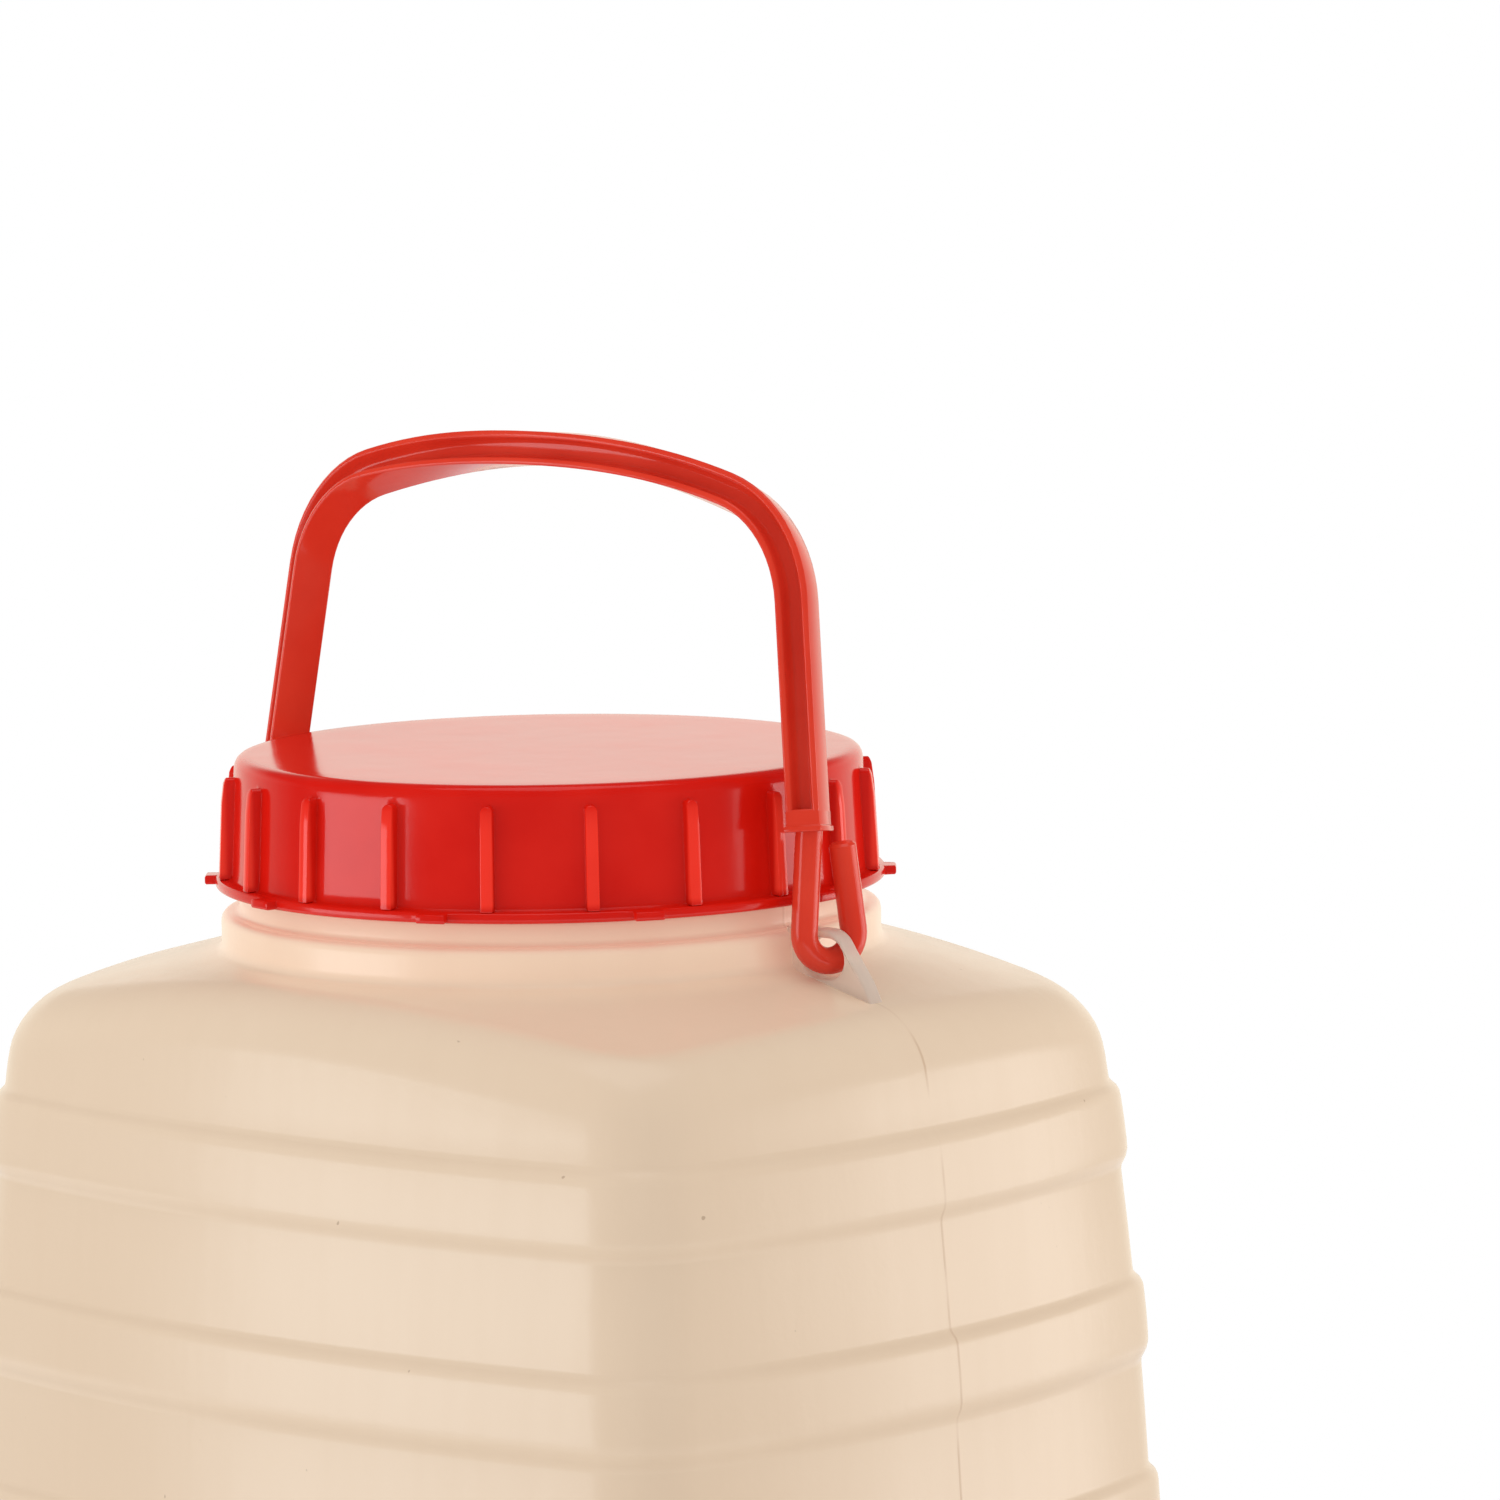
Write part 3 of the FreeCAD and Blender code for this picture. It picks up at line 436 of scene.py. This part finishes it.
def rib_top_corner(edge):
    """The two edges that run out from the skirt along a rib's top."""
    level = [vertex.co.z / MM - MOUTH for vertex in edge.verts]
    away = [hypot(vertex.co.x, vertex.co.y) / MM for vertex in edge.verts]
    at_top = min(level) > RIB_TOP - 0.2 and max(level) < RIB_TOP + 0.8
    return at_top and max(away) > 59.0 and abs(away[0] - away[1]) > 0.8


print("rib corners:", choose("edges", rib_top_corner))
bpy.ops.mesh.bevel(offset=RIB_ROUND * MM, offset_type="OFFSET", segments=4, profile=0.5,
                   affect="EDGES")


def is_tab(face):
    """The flange's rim on both sides of every second gap's middle."""
    offset, sector, height, away = sector_place(face)
    paired = (sector % 2 == 0) == (offset > 0)
    return abs(offset) > TAB_START and paired and away > 61.0 and 0.0 < height < 1.9


print("tab faces:", choose("faces", is_tab))
pull_out(lambda place: TAB_OUT)
finish_mesh(cap, bevel=CAP_ROUND * MM, steps=2, smooth=35)

# %% [markdown]
# ## The bail's grip
# The bar is a double channel, like a small rail: two flanges and a web, open on both sides. It
# runs up one leg, round a shoulder, over a shallow crown and down again, and it is twisted a
# little, a moulding that has been pulled and bent in use. Each ring of the bar is laid square to
# the line that it follows, turned by its share of the twist.

# %% Line of the grip
CROWN_HEIGHT, CROWN_RADIUS, BEND, SPLAY = 83.2, 165.0, 22.0, radians(7.5)
CROWN_STEPS, BEND_STEPS, LEG_STEPS = 14, 12, 8
DEEP, WIDE, FLANGE, WEB = 6.2, 7.2, 1.25, 1.3
WEB_ROOT = ((0.1, 1.2), (0.5, 0.15), (0.9, 0.0))     # the rounding between flange and web
GRIP_ROUND = 0.42
HOOK_RADIUS, HOOK_TURN, HOOK_LEAN, HOOK_TAIL = 5.0, radians(20), radians(11.5), 15.5
ROD, BLOCK_LEVEL, BLOCK, LIP, LIP_PROUD = 4.9, 18.0, 4.0, 0.9, 0.35
TWIST = {1: radians(24.0), -1: radians(36.0)}        # near leg, far leg
LEAN_BACK = radians(5.2)
rod_x = LUG_X - HOOK_RADIUS * sin(HOOK_TURN)
rod_y = -HOOK_RADIUS * cos(HOOK_TURN)

# The bend's centre lies on a line beside the leg, where its circle touches the crown's from
# inside.
crown_middle = Vector((0, CROWN_HEIGHT - CROWN_RADIUS))
leg_foot = Vector((rod_x, BLOCK_LEVEL))
leg_up = Vector((-sin(SPLAY), cos(SPLAY)))
leg_in = Vector((-cos(SPLAY), -sin(SPLAY)))
start = leg_foot + leg_in * BEND - crown_middle
along_leg = start.dot(leg_up)
climb = -along_leg + sqrt(along_leg ** 2 - start.dot(start) + (CROWN_RADIUS - BEND) ** 2)
bend_middle = leg_foot + leg_in * BEND + leg_up * climb
crown_turn = asin((bend_middle - crown_middle).normalized().x)
leg_turn = pi / 2 - SPLAY


def bow(centre, radius, turn):
    """A place on one of the grip's arcs, with its turn from straight up."""
    return centre + Vector((sin(turn), cos(turn))) * radius, turn


half_line = [bow(crown_middle, CROWN_RADIUS, crown_turn * k / CROWN_STEPS)
             for k in range(CROWN_STEPS)]
half_line += [bow(bend_middle, BEND, crown_turn + (leg_turn - crown_turn) * k / BEND_STEPS)
              for k in range(BEND_STEPS + 1)]
bend_end = half_line[-1][0]
half_line += [(bend_end.lerp(leg_foot, k / LEG_STEPS), leg_turn) for k in range(1, LEG_STEPS + 1)]
print("grip stations on each half:", len(half_line))


def grip_frame(side, place, turn):
    """The middle, outward and sideways directions of the bar at one station."""
    share = min(place.x / bend_end.x, 1.0)
    share = share * share * (3 - 2 * share)
    tangent = Vector((side * cos(turn), 0, -sin(turn)))
    spin = Matrix.Rotation(-side * TWIST[side] * share, 3, tangent)
    outward = spin @ Vector((side * sin(turn), 0, cos(turn)))
    sideways = spin @ Vector((0, -1, 0))
    return Vector((side * place.x, rod_y, HOOK_LEVEL + place.y)), outward, sideways


LEAN = (Matrix.Translation((0, 0, HOOK_LEVEL * MM)) @ Matrix.Rotation(-LEAN_BACK, 4, "X")
        @ Matrix.Translation((0, 0, -HOOK_LEVEL * MM)))


def framed(station, outline):
    """An outline of the bar's section, stood up at a station and leaned back with the bail."""
    middle, outward, sideways = station
    return [LEAN @ ((middle + outward * depth + sideways * width) * MM)
            for depth, width in outline]


def double_channel():
    """Half the section, then its mirror: flange edge, flange root, web."""
    deep, wide, lip, web = DEEP / 2, WIDE / 2, DEEP / 2 - FLANGE, WEB / 2
    quarter = [(deep, wide), (lip, wide)] + [(lip - drop, web + out) for drop, out in WEB_ROOT]
    right = quarter + [(-depth, width) for depth, width in reversed(quarter)]
    return right + [(depth, -width) for depth, width in reversed(right)]


# %% [markdown]
# The rings are laid from the far leg's foot over the crown to the near leg's foot, in one go, so
# the twist flows through the bends without a seam. A curve with a bevel object would be quicker,
# but it gives less hold on the twist, which differs from leg to leg.

# %% Grip
stations = [grip_frame(-1, place, turn) for place, turn in reversed(half_line)]
stations += [grip_frame(1, place, turn) for place, turn in half_line[1:]]
section = double_channel()
grip = first_ring("bail_grip", framed(stations[0], section))
for station in stations[1:]:
    next_ring(framed(station, section))
close_ends()
finish_mesh(grip, bevel=GRIP_ROUND * MM, steps=3, smooth=40)

# %% [markdown]
# Each leg ends in a solid block with a small lip, and out of the block comes the hook's rod.

# %% End blocks
# The lip, the block and its rounded lower end, as height over the rod's top and projection.
BLOCK_RINGS = ((0.0, LIP_PROUD), (LIP, LIP_PROUD), (LIP + 0.25, 0.02), (BLOCK - 0.5, 0.02),
               (BLOCK, -0.25))
BLOCK_ROUND = 0.3
blocks = []
for side, name in ((1, "near"), (-1, "far")):
    middle, outward, sideways = grip_frame(side, leg_foot, leg_turn)
    along = Vector((-side * sin(SPLAY), 0, cos(SPLAY)))
    laid = []
    for rise, proud in BLOCK_RINGS:
        deep, wide = DEEP / 2 + proud, WIDE / 2 + proud
        corners = [(deep, wide), (-deep, wide), (-deep, -wide), (deep, -wide)]
        laid.append(framed((middle + along * rise, outward, sideways), corners))
    block = first_ring(f"bail_block_{name}", laid[0])
    for ring in laid[1:]:
        next_ring(ring)
    close_ends()
    blocks.append(finish_mesh(block, bevel=BLOCK_ROUND * MM, steps=2))

# %% [markdown]
# The hook is a round wire shape: straight down from the block, half a turn under the lug, and up
# again as a free leg that leans in and ends in a plain cut with a broken edge.

# %% Hooks
WIRE_SIDES, BEND_RINGS, TIP_BREAK = 28, 20, 0.5
ROD_LEVELS = (BLOCK_LEVEL + 0.6, 14.0, 10.0, 6.0, 3.0, 1.2)
TAIL_SHARES = (0.15, 0.4, 0.7, 0.97, 1.0)
hooks = []
across = Vector((sin(HOOK_TURN), cos(HOOK_TURN), 0))


def wire_line():
    """(distance across, height, direction) for each ring along the wire."""
    line = [(-HOOK_RADIUS, height, -pi / 2) for height in ROD_LEVELS]
    for k in range(BEND_RINGS + 1):
        turn = pi + (pi + HOOK_LEAN) * k / BEND_RINGS
        line.append((HOOK_RADIUS * cos(turn), HOOK_RADIUS * sin(turn), turn + pi / 2))
    foot_x, foot_z = line[-1][:2]
    for share in TAIL_SHARES:
        tail = HOOK_TAIL * share
        line.append((foot_x - sin(HOOK_LEAN) * tail, foot_z + cos(HOOK_LEAN) * tail,
                     pi / 2 + HOOK_LEAN))
    return line


def wire_ring(side, reach, height, heading, radius):
    middle = Vector((LUG_X, 0, HOOK_LEVEL)) + across * reach + Vector((0, 0, height))
    first = across.cross(Vector((0, 0, 1))).normalized()
    second = across * -sin(heading) + Vector((0, 0, cos(heading)))
    ring = []
    for k in range(WIRE_SIDES):
        turn = 2 * pi * k / WIRE_SIDES
        point = middle + first * radius * cos(turn) + second * radius * sin(turn)
        point.x *= side
        ring.append(LEAN @ (point * MM))
    return ring


for side, name in ((1, "near"), (-1, "far")):
    *line, tip = wire_line()
    hook = first_ring(f"bail_hook_{name}", wire_ring(side, *line[0], ROD / 2))
    for place in line[1:]:
        next_ring(wire_ring(side, *place, ROD / 2))
    next_ring(wire_ring(side, *tip, ROD / 2 - TIP_BREAK))
    close_ends()
    hooks.append(finish_mesh(hook, smooth=40))

# %% [markdown]
# ## Materials
# Shader maths reads best as plain expressions, so one small class wraps a socket and overloads the
# operators. Everything else goes through one method that adds a node, sets it up and feeds it.


# %% Shader helpers
class Wire:
    """A node's output that can be used in sums."""

    def __init__(self, board, socket):
        self.board, self.socket = board, socket

    def _sum(self, operation, *values):
        return self.board.node("ShaderNodeMath", {"operation": operation}, dict(enumerate(values)))

    def __add__(self, other):
        return self._sum("ADD", self, other)

    __radd__ = __add__

    def __sub__(self, other):
        return self._sum("SUBTRACT", self, other)

    def __mul__(self, other):
        return self._sum("MULTIPLY", self, other)

    __rmul__ = __mul__


class Board:
    """One material's node tree."""

    def __init__(self, name):
        self.material = bpy.data.materials.new(name)
        self.material.use_nodes = True
        self.tree = self.material.node_tree
        self.shader = self.tree.nodes["Principled BSDF"]
        self.place = self.node("ShaderNodeTexCoord", {}, {}, "Object")

    def node(self, kind, settings, inputs, output=0):
        """Add a node: its settings first, then the values or links of its sockets."""
        made = self.tree.nodes.new(kind)
        for name, value in settings.items():
            setattr(made, name, value)
        for name, value in inputs.items():
            self.feed(made.inputs[name], value)
        return Wire(self, made.outputs[output])

    def feed(self, socket, value):
        if isinstance(value, Wire):
            self.tree.links.new(value.socket, socket)
        else:
            socket.default_value = value

    def set(self, **values):
        for name, value in values.items():
            self.feed(self.shader.inputs[name.replace("_", " ")], value)

    def noise(self, scale, detail, rough, stretch=None):
        """Cloudy noise from 0 to 1 over the object's own coordinates."""
        where = self.place
        if stretch:
            feeds = {"Vector": where, "Scale": stretch}
            where = self.node("ShaderNodeMapping", {}, feeds, "Vector")
        return self.node("ShaderNodeTexNoise", {}, {
            "Vector": where, "Scale": scale, "Detail": detail, "Roughness": rough}, 0)

    def axis(self, where, letter):
        """One coordinate of a vector."""
        return self.node("ShaderNodeSeparateXYZ", {}, {"Vector": where}, letter)

    def blend(self, share, first, second):
        """Mix two colours."""
        feeds = {0: share, 6: first, 7: second}
        return self.node("ShaderNodeMix", {"data_type": "RGBA"}, feeds, 2)

    def spread(self, value, low, high, to_low=0.0, to_high=1.0):
        """Ease a value from one range to another."""
        return self.node("ShaderNodeMapRange", {"interpolation_type": "SMOOTHSTEP"}, {
            0: value, 1: low, 2: high, 3: to_low, 4: to_high}, 0)

    def bump(self, height, distance, strength, under=None):
        """A normal that follows small heights, over another bump if one is given."""
        feeds = {"Height": height, "Distance": distance, "Strength": strength}
        if under:
            feeds["Normal"] = under
        return self.node("ShaderNodeBump", {}, feeds, "Normal")


def linear(red, green, blue):
    """A colour as it is seen, 0 to 255, turned into the linear numbers a shader takes."""
    def one(value):
        value /= 255
        return value / 12.92 if value <= 0.04045 else ((value + 0.055) / 1.055) ** 2.4
    return one(red), one(green), one(blue), 1.0


# %% [markdown]
# **Milky polyethylene** is neither white nor clear: light goes a few millimetres in and comes out
# warm. Its skin carries a faint vertical drag from the parison, an orange-peel ripple, and a few
# dark specks. Subsurface scattering would be the obvious way, but it doubles the render's time for
# little, so a weak glow of the plastic's own colour stands for the light that comes through.

# %% Milky plastic
milk = Board("milky_polyethylene")
drag = milk.noise(220.0, 2.0, 0.5, stretch=(1.0, 1.0, 0.06))
cloud = milk.noise(14.0, 3.0, 0.5)
peel = milk.noise(520.0, 2.0, 0.5)
speck = milk.noise(420.0, 1.0, 0.4)
body_colour = milk.blend(cloud, linear(220, 195, 168), linear(226, 203, 178))
streak = milk.spread(drag, 0.35, 0.75, 0.0, 0.07)
body_colour = milk.blend(streak, body_colour, linear(214, 186, 156))
dot = milk.spread(speck, 0.81, 0.84, 0.0, 0.5)
body_colour = milk.blend(dot, body_colour, linear(150, 120, 96))
# The two halves of the mould meet in the plane of the lugs and leave a fine, uneven line.
JOINT_WANDER = 0.0016    # metres
across_joint = milk.axis(milk.place, "Y") + JOINT_WANDER * (milk.noise(9.0, 3.0, 0.6) - 0.5)
off_joint = milk.node("ShaderNodeMath", {"operation": "ABSOLUTE"}, {0: across_joint})
joint = milk.spread(off_joint, 0.00012, 0.00042, 1.0, 0.0)
joint = joint * milk.spread(milk.noise(38.0, 2.0, 0.6), 0.36, 0.56)
body_colour = milk.blend(joint * 0.5, body_colour, linear(186, 150, 120))
# A weak painted glow stands for light that has come through the walls; a stronger one paints the
# narrow neck lighter under the cap's shade.
NECK_FROM, NECK_FULL = 0.2865, 0.2905    # metres over the floor
neck_glow_mask = milk.spread(milk.axis(milk.place, "Z"), NECK_FROM, NECK_FULL)
milk.set(
    Base_Color=body_colour,
    Roughness=0.20 + 0.09 * drag,
    Normal=milk.bump(peel + joint, 0.00006, 0.5, milk.bump(drag, 0.00008, 0.5)),
    IOR=1.5,
    Emission_Color=milk.blend(neck_glow_mask, body_colour, (2.4, 1.5, 1.15, 1.0)),
    Emission_Strength=0.10,
)
print("milky plastic nodes:", len(milk.tree.nodes))

# %% [markdown]
# The lugs are the same plastic, but so thin that they are nearly clear, like frosted glass: most
# of the light goes through and is only scattered a little on its way.

# %% Thin milky plastic
thin = Board("thin_polyethylene")
thin.set(
    Base_Color=linear(243, 227, 212),
    Roughness=0.30 + 0.10 * thin.noise(160.0, 2.0, 0.5),
    Normal=thin.bump(thin.noise(300.0, 2.0, 0.5), 0.00008, 0.5),
    IOR=1.5,
    Transmission_Weight=0.5,
    # A weak, warm painted glow makes the thin fins lighter, standing for light that shines through
    # them.
    Emission_Color=linear(246, 222, 204),
    Emission_Strength=0.05,
)
print("thin plastic nodes:", len(thin.tree.nodes))

# %% [markdown]
# ** Red polyethylene** of the cap and the bail. Both are smooth and glossy. The cap's thin ribs
# get a painted glow that makes them lighter than the skirt, and the bail's red is painted lighter
# and warmer than the cap's, as a painted sheen.


# %% Red plastic
def red_plastic(name, dark, light, rough):
    made = Board(name)
    flow = made.noise(60.0, 3.0, 0.5)
    grain = made.noise(900.0, 2.0, 0.5)
    made.set(
        Base_Color=made.blend(made.spread(flow, 0.3, 0.7), dark, light),
        Roughness=rough + 0.07 * flow,
        Normal=made.bump(grain, 0.00002, 0.4, made.bump(flow, 0.0004, 0.15)),
        IOR=1.5,
    )
    print(name, "nodes:", len(made.tree.nodes))
    return made


RIB_INNER, RIB_OUTER = 0.0590, 0.0603    # the ribs' part of the radius, in metres
RIB_LOWER, RIB_UPPER = 0.3020, 0.3035    # and where they start over the flange
red = red_plastic("red_polyethylene", linear(217, 22, 11), linear(225, 28, 15), 0.11)
# The bail's red is painted lighter and warmer than the cap's, as a painted sheen of the white
# surroundings.
painted_sheen_red = red_plastic(
    "red_polyethylene_painted_sheen", linear(224, 57, 38), linear(231, 65, 44), 0.10)
flat_place = red.node(
    "ShaderNodeVectorMath", {"operation": "MULTIPLY"}, {0: red.place, 1: (1, 1, 0)}, "Vector")
from_axis = red.node("ShaderNodeVectorMath", {"operation": "LENGTH"}, {0: flat_place}, "Value")
rib_glow_mask = red.spread(from_axis, RIB_INNER, RIB_OUTER)
rib_glow_mask = rib_glow_mask * red.spread(red.axis(red.place, "Z"), RIB_LOWER, RIB_UPPER)
# Painted glow: the ribs give off a little red light of their own, so they look lighter.
red.set(
    Emission_Color=red.blend(rib_glow_mask, (0, 0, 0, 1), (0.85, 0.09, 0.05, 1)),
    Emission_Strength=0.25,
)

# %% [markdown]
# **Dressing.** Each piece gets its one material and is put on the body that it moves with: the
# bottle, its lugs and the cap stay with the keg, all of the handle swings with the bail.


# %% Putting the pieces on their bodies
def dress(piece, board, body):
    piece.data.materials.clear()
    piece.data.materials.append(board.material)
    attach(piece, body)


for piece, board in ((bottle, milk), (near_lug, thin), (far_lug, thin)):
    dress(piece, board, "keg")
    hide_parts("bottle")
dress(cap, red, "keg")
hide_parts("cap")
for piece in (grip, *blocks, *hooks):
    dress(piece, painted_sheen_red, "bail")
    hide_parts("bail")

# %% [markdown]
# ## Floor, light and camera
# A pale floor that fades into the white surroundings, soft boxes at both sides whose edges give
# the corner of the bottle its darker band, and a camera a little above the cap, far back.

# %% Floor
FLOOR_RADIUS, FADE_FROM, FADE_TO = 0.9, 0.3, 0.85    # metres
clear_selection()
bpy.ops.mesh.primitive_circle_add(vertices=96, radius=FLOOR_RADIUS, fill_type="NGON")
floor = bpy.context.object
floor.name = "floor"
ground = Board("pale_floor")
spot = ground.node("ShaderNodeVectorMath", {"operation": "LENGTH"}, {0: ground.place}, "Value")
ground.set(Base_Color=linear(226, 224, 221), Roughness=0.6)
glow = ground.node("ShaderNodeEmission", {}, {"Color": (1, 1, 1, 1), "Strength": 1.0})
fade = ground.node("ShaderNodeMixShader", {}, {
    0: ground.spread(spot, FADE_FROM, FADE_TO), 1: Wire(ground, ground.shader.outputs[0]),
    2: glow})
ground.feed(ground.tree.nodes["Material Output"].inputs["Surface"], fade)
floor.data.materials.append(ground.material)

# %% [markdown]
# **Light.** What is seen directly is pure white, and so is most of what lights the keg softly. In
# reflections the room is dark, but for a white sweep behind the keg: glossy plastic only looks
# glossy when it has something dark and something bright to mirror. Area lamps do the rest, since
# large soft sources suit milky plastic better than points or a sun.

# %% Light
world = bpy.data.worlds.new("studio")
bpy.context.scene.world = world
world.use_nodes = True
sky = world.node_tree
DIFFUSE_SKY = 0.84
rays = sky.nodes.new("ShaderNodeLightPath")


def sky_node(kind, inputs, **settings):
    made = sky.nodes.new(kind)
    for name, value in settings.items():
        setattr(made, name, value)
    for name, value in inputs.items():
        if isinstance(value, bpy.types.NodeSocket):
            sky.links.new(value, made.inputs[name])
        else:
            made.inputs[name].default_value = value
    return made


CAMERA_TURN = radians(43.2)
to_camera = Vector((sin(CAMERA_TURN), -cos(CAMERA_TURN), 0))
to_right = Vector((cos(CAMERA_TURN), sin(CAMERA_TURN), 0))
# White for what is seen directly; in reflections the room is dark, but for the white sweep that
# stands behind the keg, up to a little over its height.
way = sky_node("ShaderNodeTexCoord", {}).outputs["Generated"]
bearing = sky_node(
    "ShaderNodeVectorMath", {0: way, 1: to_camera}, operation="DOT_PRODUCT").outputs["Value"]
rise = sky_node("ShaderNodeSeparateXYZ", {0: way}).outputs["Z"]
behind = sky_node(
    "ShaderNodeMapRange", {0: bearing, 1: -0.95, 2: -0.25, 3: 1.05, 4: 0.08}).outputs[0]
low_down = sky_node(
    "ShaderNodeMapRange", {0: rise, 1: 0.24, 2: 0.46, 3: 1.0, 4: 0.12}).outputs[0]
around = sky_node(
    "ShaderNodeMath", {0: behind, 1: low_down}, operation="MULTIPLY").outputs[0]
mirrored = sky_node(
    "ShaderNodeMath",
    {0: rays.outputs["Is Glossy Ray"], 1: rays.outputs["Is Transmission Ray"]},
    operation="MAXIMUM").outputs[0]
reflected = sky_node("ShaderNodeMix", {0: mirrored, 2: DIFFUSE_SKY, 3: around}).outputs[0]
shown = sky_node(
    "ShaderNodeMix", {0: rays.outputs["Is Camera Ray"], 2: reflected, 3: 1.0}).outputs[0]
sky.links.new(shown, sky.nodes["Background"].inputs["Strength"])
warm = sky_node(
    "ShaderNodeMix", {0: mirrored, 6: (1.0, 1.0, 1.0, 1.0), 7: (1.0, 0.96, 0.84, 1.0)},
    data_type="RGBA").outputs[2]
sky.links.new(warm, sky.nodes["Background"].inputs["Color"])


def soft_box(name, place, width, height, radiance, aim, colour=(1, 1, 1)):
    lamp = bpy.data.lights.new(name, "AREA")
    lamp.shape = "RECTANGLE"
    lamp.size, lamp.size_y = width, height
    lamp.energy = radiance * pi * width * height
    lamp.color = colour
    box = bpy.data.objects.new(name, lamp)
    bpy.context.collection.objects.link(box)
    box.location = place
    box.rotation_euler = (aim - place).to_track_quat("-Z", "Y").to_euler()
    return box


middle = Vector((0, 0, 0.135))
left = middle - to_right * 1.3 + to_camera * 0.46
right = middle + to_right * 1.38 - to_camera * 0.24
right_front = middle + to_right * 1.25 + to_camera * 0.27
above = middle + Vector((0, 0, 1.6))
soft_box("soft_box_left", left, 0.94, 0.57, 2.28, middle, (0.94, 1.0, 1.03))
soft_box("soft_box_right", right, 0.8, 0.57, 2.1, middle, (1.0, 0.98, 0.95))
soft_box("soft_box_right_front", right_front, 0.42, 0.57, 1.2, middle, (1.0, 0.97, 0.93))
soft_box("soft_box_top", above, 1.0, 1.0, 0.8, middle)

# %% [markdown]
# ** Camera.** A long lens from 1.6 m away keeps the keg's upright edges nearly parallel. The camera
# is turned by measured yaw, pitch and roll instead of a Track To constraint, because the keg
# isn't in the middle of the frame.

# %% Camera
YAW, PITCH, ROLL = radians(1.32), radians(6.75), radians(-0.93)
AWAY, EYE_LEVEL = 1.6, 0.5124
lens = bpy.data.cameras.new("camera")
lens.sensor_width = 36.0
lens.lens = 211.4
lens.clip_start, lens.clip_end = 0.05, 50
camera = bpy.data.objects.new("camera", lens)
bpy.context.collection.objects.link(camera)
level_ahead = -to_camera * cos(YAW) + to_right * sin(YAW)
ahead = level_ahead * cos(PITCH) - Vector((0, 0, sin(PITCH)))
rightwards = to_right * cos(YAW) + to_camera * sin(YAW)
upwards = rightwards.cross(ahead)
right_rolled = rightwards * cos(ROLL) + upwards * sin(ROLL)
up_rolled = -rightwards * sin(ROLL) + upwards * cos(ROLL)
pose = Matrix((right_rolled, up_rolled, -ahead)).transposed().to_4x4()
pose.translation = to_camera * AWAY + Vector((0, 0, EYE_LEVEL))
camera.matrix_world = pose
bpy.context.scene.camera = camera
bpy.context.scene.view_settings.view_transform = "Standard"
print("camera at", [round(n, 3) for n in camera.location])
